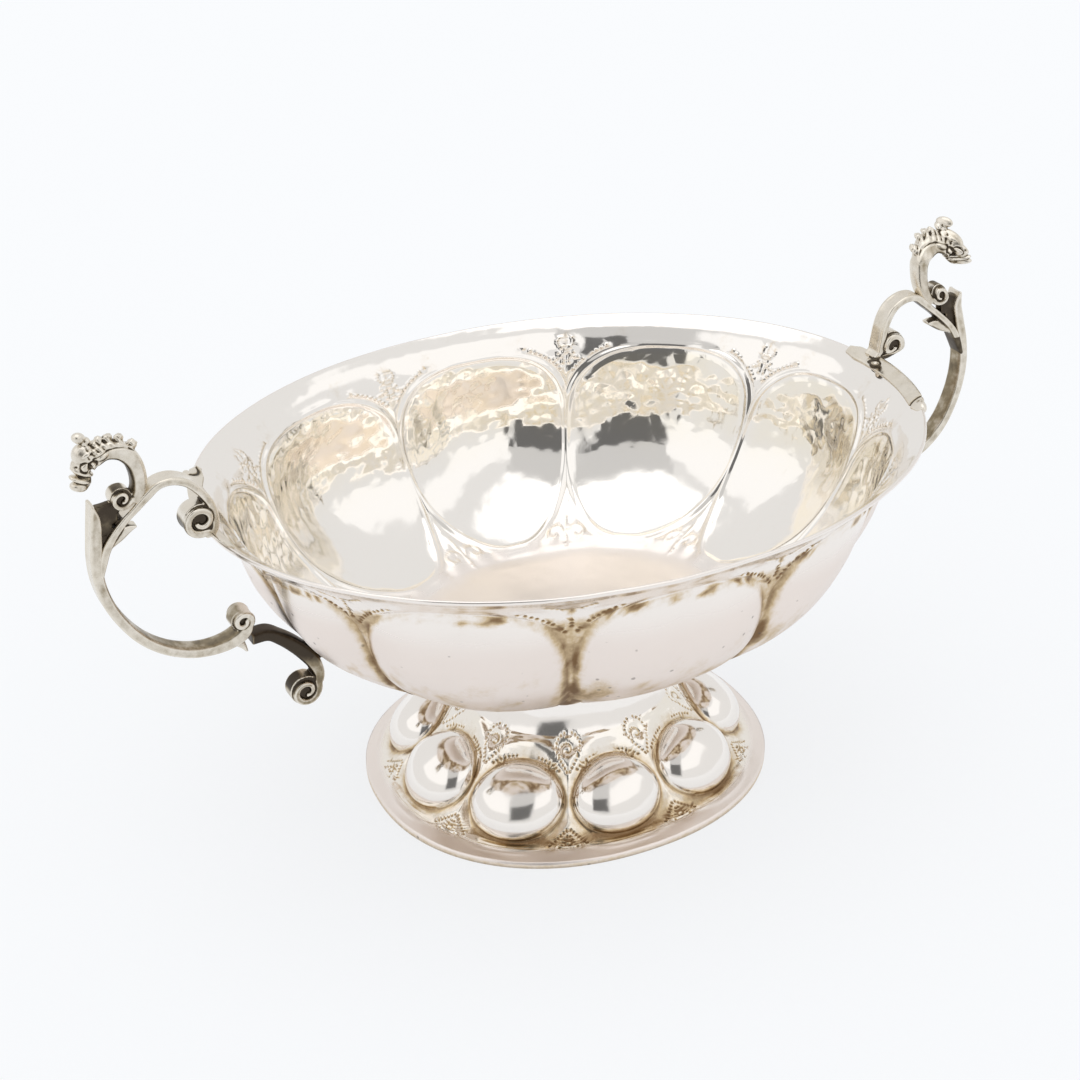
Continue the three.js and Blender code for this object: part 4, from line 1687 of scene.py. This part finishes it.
@dataclass(frozen=True)
class SilverFinish:
    """Raised and chased silver, polished by hand.

    Bright metal shows everything around it, bent by the hammer's small hollows. Tarnish stays brown
    where cloths don't reach, and yellows the parts that are rubbed less. The same browns also paint
    shade: under the bowl's lip, inside the handles' loops and on the webs of their scrolls.
    """

    name: str
    bright: str = "#F6F2ED"
    satin: str = "#F2E8E1"
    warm: str = "#F8F0DE"
    golden: str = "#D5BF9C"
    tarnish: str = "#876B4D"
    pit: str = "#6A6057"
    polished: float = 0.09
    dull: float = 0.38
    cloud_mm: float = 9.0
    grain_mm: float = 1.4
    hammer_mm: float = 3.6
    pit_mm: float = 3.6
    hammer_depth: float = 0.5
    grain_depth: float = 0.03
    pit_depth: float = 0.08

    def pits(self, tree: Tree, coords: Socket, fine: Socket, matt: Socket) -> Socket:
        """Scattered ragged pits, only where the metal is dullest.

        Args:
            tree: the node tree.
            coords: the object's coordinates.
            fine: fine noise.
            matt: how dull the metal is.

        Returns:
            1 in a pit, 0 outside.
        """
        cells = add_node(tree, "TexVoronoi", {"Scale": 1 / (self.pit_mm * MM), "Vector": coords})
        ragged = worked_out(tree, "MULTIPLY_ADD", fine, 0.22, -0.11)
        reach = worked_out(tree, "ADD", cells.outputs["Distance"], ragged)
        size = remapped(tree, reach, (0.06, 0.13), (1.0, 0.0))
        pick = add_node(tree, "SeparateColor", {"Color": cells.outputs["Color"]}).outputs["Red"]
        some = worked_out(tree, "MULTIPLY", size, worked_out(tree, "GREATER_THAN", pick, 0.3))
        return worked_out(tree, "MULTIPLY", some, worked_out(tree, "GREATER_THAN", matt, 0.9))

    def colour(self, tree: Tree, matt: Socket, warmth: Socket, tarnish_and_shade: Socket, pits: Socket) -> Socket:
        """Bright metal under satin, warmth, two depths of tarnish and painted shade, and pits.

        Args:
            tree: the node tree.
            matt: how dull the metal is.
            warmth: how yellow it is.
            tarnish_and_shade: how tarnished it is, and how much painted shade it carries.
            pits: where its pits are.

        Returns:
            The colour's socket.
        """
        light, deep = remapped(tree, tarnish_and_shade, (0.0, 0.5)), remapped(tree, tarnish_and_shade, (0.45, 1.0))
        shown_pits = worked_out(tree, "MULTIPLY", pits, 0.55)
        layers = (
            (matt, self.satin), (warmth, self.warm), (light, self.golden), (deep, self.tarnish),
            (shown_pits, self.pit))
        tone = linear(self.bright)
        for amount, colour in layers:
            tone = mixed(tree, amount, tone, linear(colour))
        return tone

    def surface(self, tree: Tree, coords: Socket, fine: Socket, warm: Socket, pits: Socket) -> Socket:
        """The hammer's hollows, deepest where the metal is warm, under a fine grain and the pits.

        Args:
            tree: the node tree.
            coords: the object's coordinates.
            fine: fine noise.
            warm: how yellow the metal is.
            pits: where its pits are.

        Returns:
            The normal's socket.
        """
        hammer = add_node(tree, "TexVoronoi", {
            "feature": "SMOOTH_F1", "Scale": 1 / (self.hammer_mm * MM), "Smoothness": 0.6,
            "Vector": coords}).outputs["Distance"]
        height = worked_out(tree, "MULTIPLY", hammer, worked_out(tree, "MULTIPLY_ADD", warm, 0.9, 0.1))
        layers = (
            {"Strength": 1.0, "Distance": self.hammer_depth * MM, "Height": height},
            {"Strength": 0.25, "Distance": self.grain_depth * MM, "Height": fine},
            {"Strength": 0.6, "Distance": self.pit_depth * MM, "invert": True, "Height": pits})
        below = {}
        for layer in layers:
            below = {"Normal": add_node(tree, "Bump", layer | below).outputs["Normal"]}
        return below["Normal"]

    def make(self) -> Material:
        """Builds the material.

        Returns:
            The material.
        """
        material = bpy.data.materials.new(self.name)
        material.use_nodes = True
        tree = material.node_tree
        tree.nodes.clear()
        coords = add_node(tree, "TexCoord").outputs["Object"]
        tarnish_and_shade, warm, matt = (
            add_node(tree, "Attribute", {"attribute_name": name}).outputs["Fac"] for name in MARK_NAMES)
        noises = (
            {"Scale": 1 / (self.cloud_mm * MM), "Detail": 5.0, "Roughness": 0.6, "Vector": coords},
            {"Scale": 1 / (self.grain_mm * MM), "Detail": 4.0, "Roughness": 0.65, "Vector": coords})
        cloud, fine = (add_node(tree, "TexNoise", settings).outputs["Fac"] for settings in noises)
        ragged = worked_out(tree, "MULTIPLY_ADD", fine, 0.45, -0.22)
        tarnish_and_shade = remapped(tree, worked_out(tree, "ADD", tarnish_and_shade, ragged), (0.05, 0.95), smooth=True)
        warmth = worked_out(tree, "MULTIPLY", warm, remapped(tree, cloud, (0.35, 0.65), (0.35, 1.0)))
        pits = self.pits(tree, coords, fine, matt)
        rough = remapped(tree, matt, (0.0, 1.0), (self.polished, self.dull))
        rough = worked_out(tree, "ADD", rough, worked_out(tree, "MULTIPLY_ADD", cloud, 0.12, -0.06))
        shader = add_node(tree, "BsdfPrincipled", {
            "Metallic": 1.0, "Base Color": self.colour(tree, matt, warmth, tarnish_and_shade, pits),
            "Roughness": worked_out(tree, "MULTIPLY_ADD", tarnish_and_shade, 0.14, rough, clamp=True),
            "Normal": self.surface(tree, coords, fine, warm, pits)})
        add_node(tree, "OutputMaterial", {"Surface": shader.outputs[0]})
        return material


# Hammered sheet: bright and mirror-like, with brown seams and yellow, dimpled lobe tops.
# Its browns also paint the shade and reflection under the bowl's lip.
RAISED_SILVER = SilverFinish("hand_raised_silver")

# Cast metal off the bench: greyer and softer, with near-black hollows behind its rubbed edges.
# Its near-black also paints the shade inside the handles' loops and on the webs of their scrolls.
CAST_SILVER = SilverFinish(
    "cast_silver", bright="#EDE7DD", satin="#EAE4DA", warm="#D9CDB4", golden="#9A8D75", tarnish="#4A4239",
    dull=0.3)


def dress(thing: Object, material: Material, node_name: str) -> Object:
    """Gives a piece its finish, hides the solid that it replaces, and hangs it on the body that it rides on.

    Args:
        thing: the piece.
        material: its finish.
        node_name: the solid that it replaces.

    Returns:
        The same piece.
    """
    thing.data.materials.clear()
    thing.data.materials.append(material)
    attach(thing, BODY)
    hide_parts(node_name)
    return thing


# Studio


class Patch(NamedTuple):
    """A soft-edged patch of the room, in parts of the way towards it: to the right, up and ahead."""

    aside: tuple
    rise: tuple
    ahead: tuple
    soft: float
    light: float


@dataclass(frozen=True)
class Studio:
    """The pale table, the soft light and the camera of the photograph.

    The room is a white tent with two brighter soft boxes, a grey gap between them with the dark of the
    lens in it, and a bright panel overhead.
    """

    picture_side: float = 1080.0
    focal_pixels: float = 1925.29
    sensor: float = 36.0
    azimuth: float = -25.99
    elevation: float = 30.64
    distance: float = 423.79
    target: tuple = (-6.91, 0.0, 59.23)
    table_half: float = 3.0
    table_colour: tuple = (0.86, 0.86, 0.86, 1)
    table_seen: float = 0.27
    table_glow: float = 0.73
    table_tint: tuple = (0.965, 0.98, 1.0)
    tent: tuple = (0.84, 0.86)
    backdrop: float = 0.98
    left_box: Patch = Patch((-0.95, -0.27), (0.4, 0.82), (-0.2, 0.9), 0.02, 1.08)
    right_box: Patch = Patch((0.31, 0.86), (0.4, 0.78), (-0.2, 0.9), 0.02, 1.08)
    gap: Patch = Patch((-0.27, 0.31), (0.1, 0.9), (0.0, 1.3), 0.015, 0.66)
    lens: Patch = Patch((-0.24, 0.27), (0.18, 0.64), (0.3, 1.3), 0.012, 0.16)
    overhead: Patch = Patch((-0.6, 0.6), (0.9, 1.3), (-0.6, 0.4), 0.02, 1.4)

    def axes(self) -> tuple[Vector, Vector, Vector]:
        """The camera's right, up and back directions.

        Returns:
            Three unit vectors.
        """
        az, el = math.radians(self.azimuth), math.radians(self.elevation)
        back = Vector((math.sin(az) * math.cos(el), -math.cos(az) * math.cos(el), math.sin(el)))
        right = Vector((math.cos(az), math.sin(az), 0))
        return right, back.cross(right), back

    def camera(self) -> None:
        """Places the camera where the photograph was taken from."""
        data = bpy.data.cameras.new("camera")
        data.sensor_width = self.sensor
        data.lens = self.focal_pixels / self.picture_side * self.sensor
        data.clip_start = 0.01
        thing = linked("camera", data)
        right, up, back = self.axes()
        place = Vector(self.target) * MM + back * self.distance * MM
        thing.matrix_world = Matrix.Translation(place) @ Matrix((right, up, back)).transposed().to_4x4()
        bpy.context.scene.camera = thing

    def table(self) -> None:
        """Lays the pale table. Camera and mirror rays see it a little brighter than it lights."""
        bm = bmesh.new()
        bmesh.ops.create_grid(bm, x_segments=1, y_segments=1, size=self.table_half)
        mesh = bpy.data.meshes.new("table")
        bm.to_mesh(mesh)
        bm.free()
        thing = linked("table", mesh)
        material = bpy.data.materials.new("white_table_card")
        material.use_nodes = True
        tree = material.node_tree
        tree.nodes.clear()
        path = add_node(tree, "LightPath")
        rays = path.outputs["Is Camera Ray"], path.outputs["Is Glossy Ray"]
        seen = worked_out(tree, "ADD", *rays, clamp=True)
        shown = tuple(self.table_seen * c for c in self.table_tint) + (1.0,)
        tone = mixed(tree, seen, self.table_colour, shown)
        diffuse = add_node(tree, "BsdfDiffuse", {"Color": tone})
        strength = worked_out(tree, "MULTIPLY", seen, self.table_glow)
        glow = add_node(tree, "Emission", {"Color": self.table_tint + (1.0,), "Strength": strength})
        both = add_node(tree, "AddShader", {0: diffuse.outputs[0], 1: glow.outputs[0]})
        add_node(tree, "OutputMaterial", {"Surface": both.outputs[0]})
        mesh.materials.append(material)

    def between(self, tree: Tree, value: Socket, span: tuple, soft: float) -> Socket:
        """1 between the ends of a span, fading over soft.

        Args:
            tree: the node tree.
            value: the value.
            span: where it starts and ends.
            soft: half the width of each fade.

        Returns:
            The result's socket.
        """
        starts, ends = ((end - soft, end + soft) for end in span)
        up = remapped(tree, value, starts, smooth=True)
        return worked_out(tree, "MULTIPLY", up, remapped(tree, value, ends, (1.0, 0.0), smooth=True))

    def room(self) -> None:
        """Lights the room with its patches. Camera rays see a plain pale backdrop."""
        world = bpy.data.worlds.new("studio")
        bpy.context.scene.world = world
        world.use_nodes = True
        tree = world.node_tree
        tree.nodes.clear()
        way = add_node(tree, "TexCoord").outputs["Generated"]
        right, _, back = self.axes()
        front = Vector((back.x, back.y, 0)).normalized()
        products = ({"operation": "DOT_PRODUCT", 0: way, 1: tuple(axis)} for axis in (front, right))
        ahead, aside = (add_node(tree, "VectorMath", product).outputs["Value"] for product in products)
        rise = add_node(tree, "SeparateXYZ", {0: way}).outputs["Z"]
        level = remapped(tree, ahead, (-1.0, 0.8), self.tent)
        for patch in (self.left_box, self.right_box, self.gap, self.lens, self.overhead):
            spans = ((aside, patch.aside), (rise, patch.rise), (ahead, patch.ahead))
            wide, high, deep = (self.between(tree, value, span, patch.soft) for value, span in spans)
            mask = worked_out(tree, "MULTIPLY", worked_out(tree, "MULTIPLY", wide, high), deep)
            level = blended(tree, mask, level, patch.light)
        path = add_node(tree, "LightPath").outputs["Is Camera Ray"]
        level = blended(tree, path, level, self.backdrop)
        background = add_node(tree, "Background", {"Color": (1, 1, 1, 1), "Strength": level})
        add_node(tree, "OutputWorld", {"Surface": background.outputs[0]})


def main() -> None:
    """Builds the object and its setting, and reports each piece."""
    logging.basicConfig(level=logging.INFO, format="%(name)s: %(message)s")
    bpy.context.scene.view_settings.view_transform = "Standard"
    studio = Studio()
    studio.camera()
    studio.table()
    studio.room()
    raised = RAISED_SILVER.make()
    bowl = LobedBowl()
    pieces = [bowl.build(raised), BossedFoot().build(raised)]
    cast = CAST_SILVER.make()
    for side in Side:
        pieces += ScrollHandle(side, bowl.rim).build(cast)
    for piece in pieces:
        log.info("%s: %d faces", piece.name, len(piece.data.polygons))


if __name__ == "__main__":
    main()
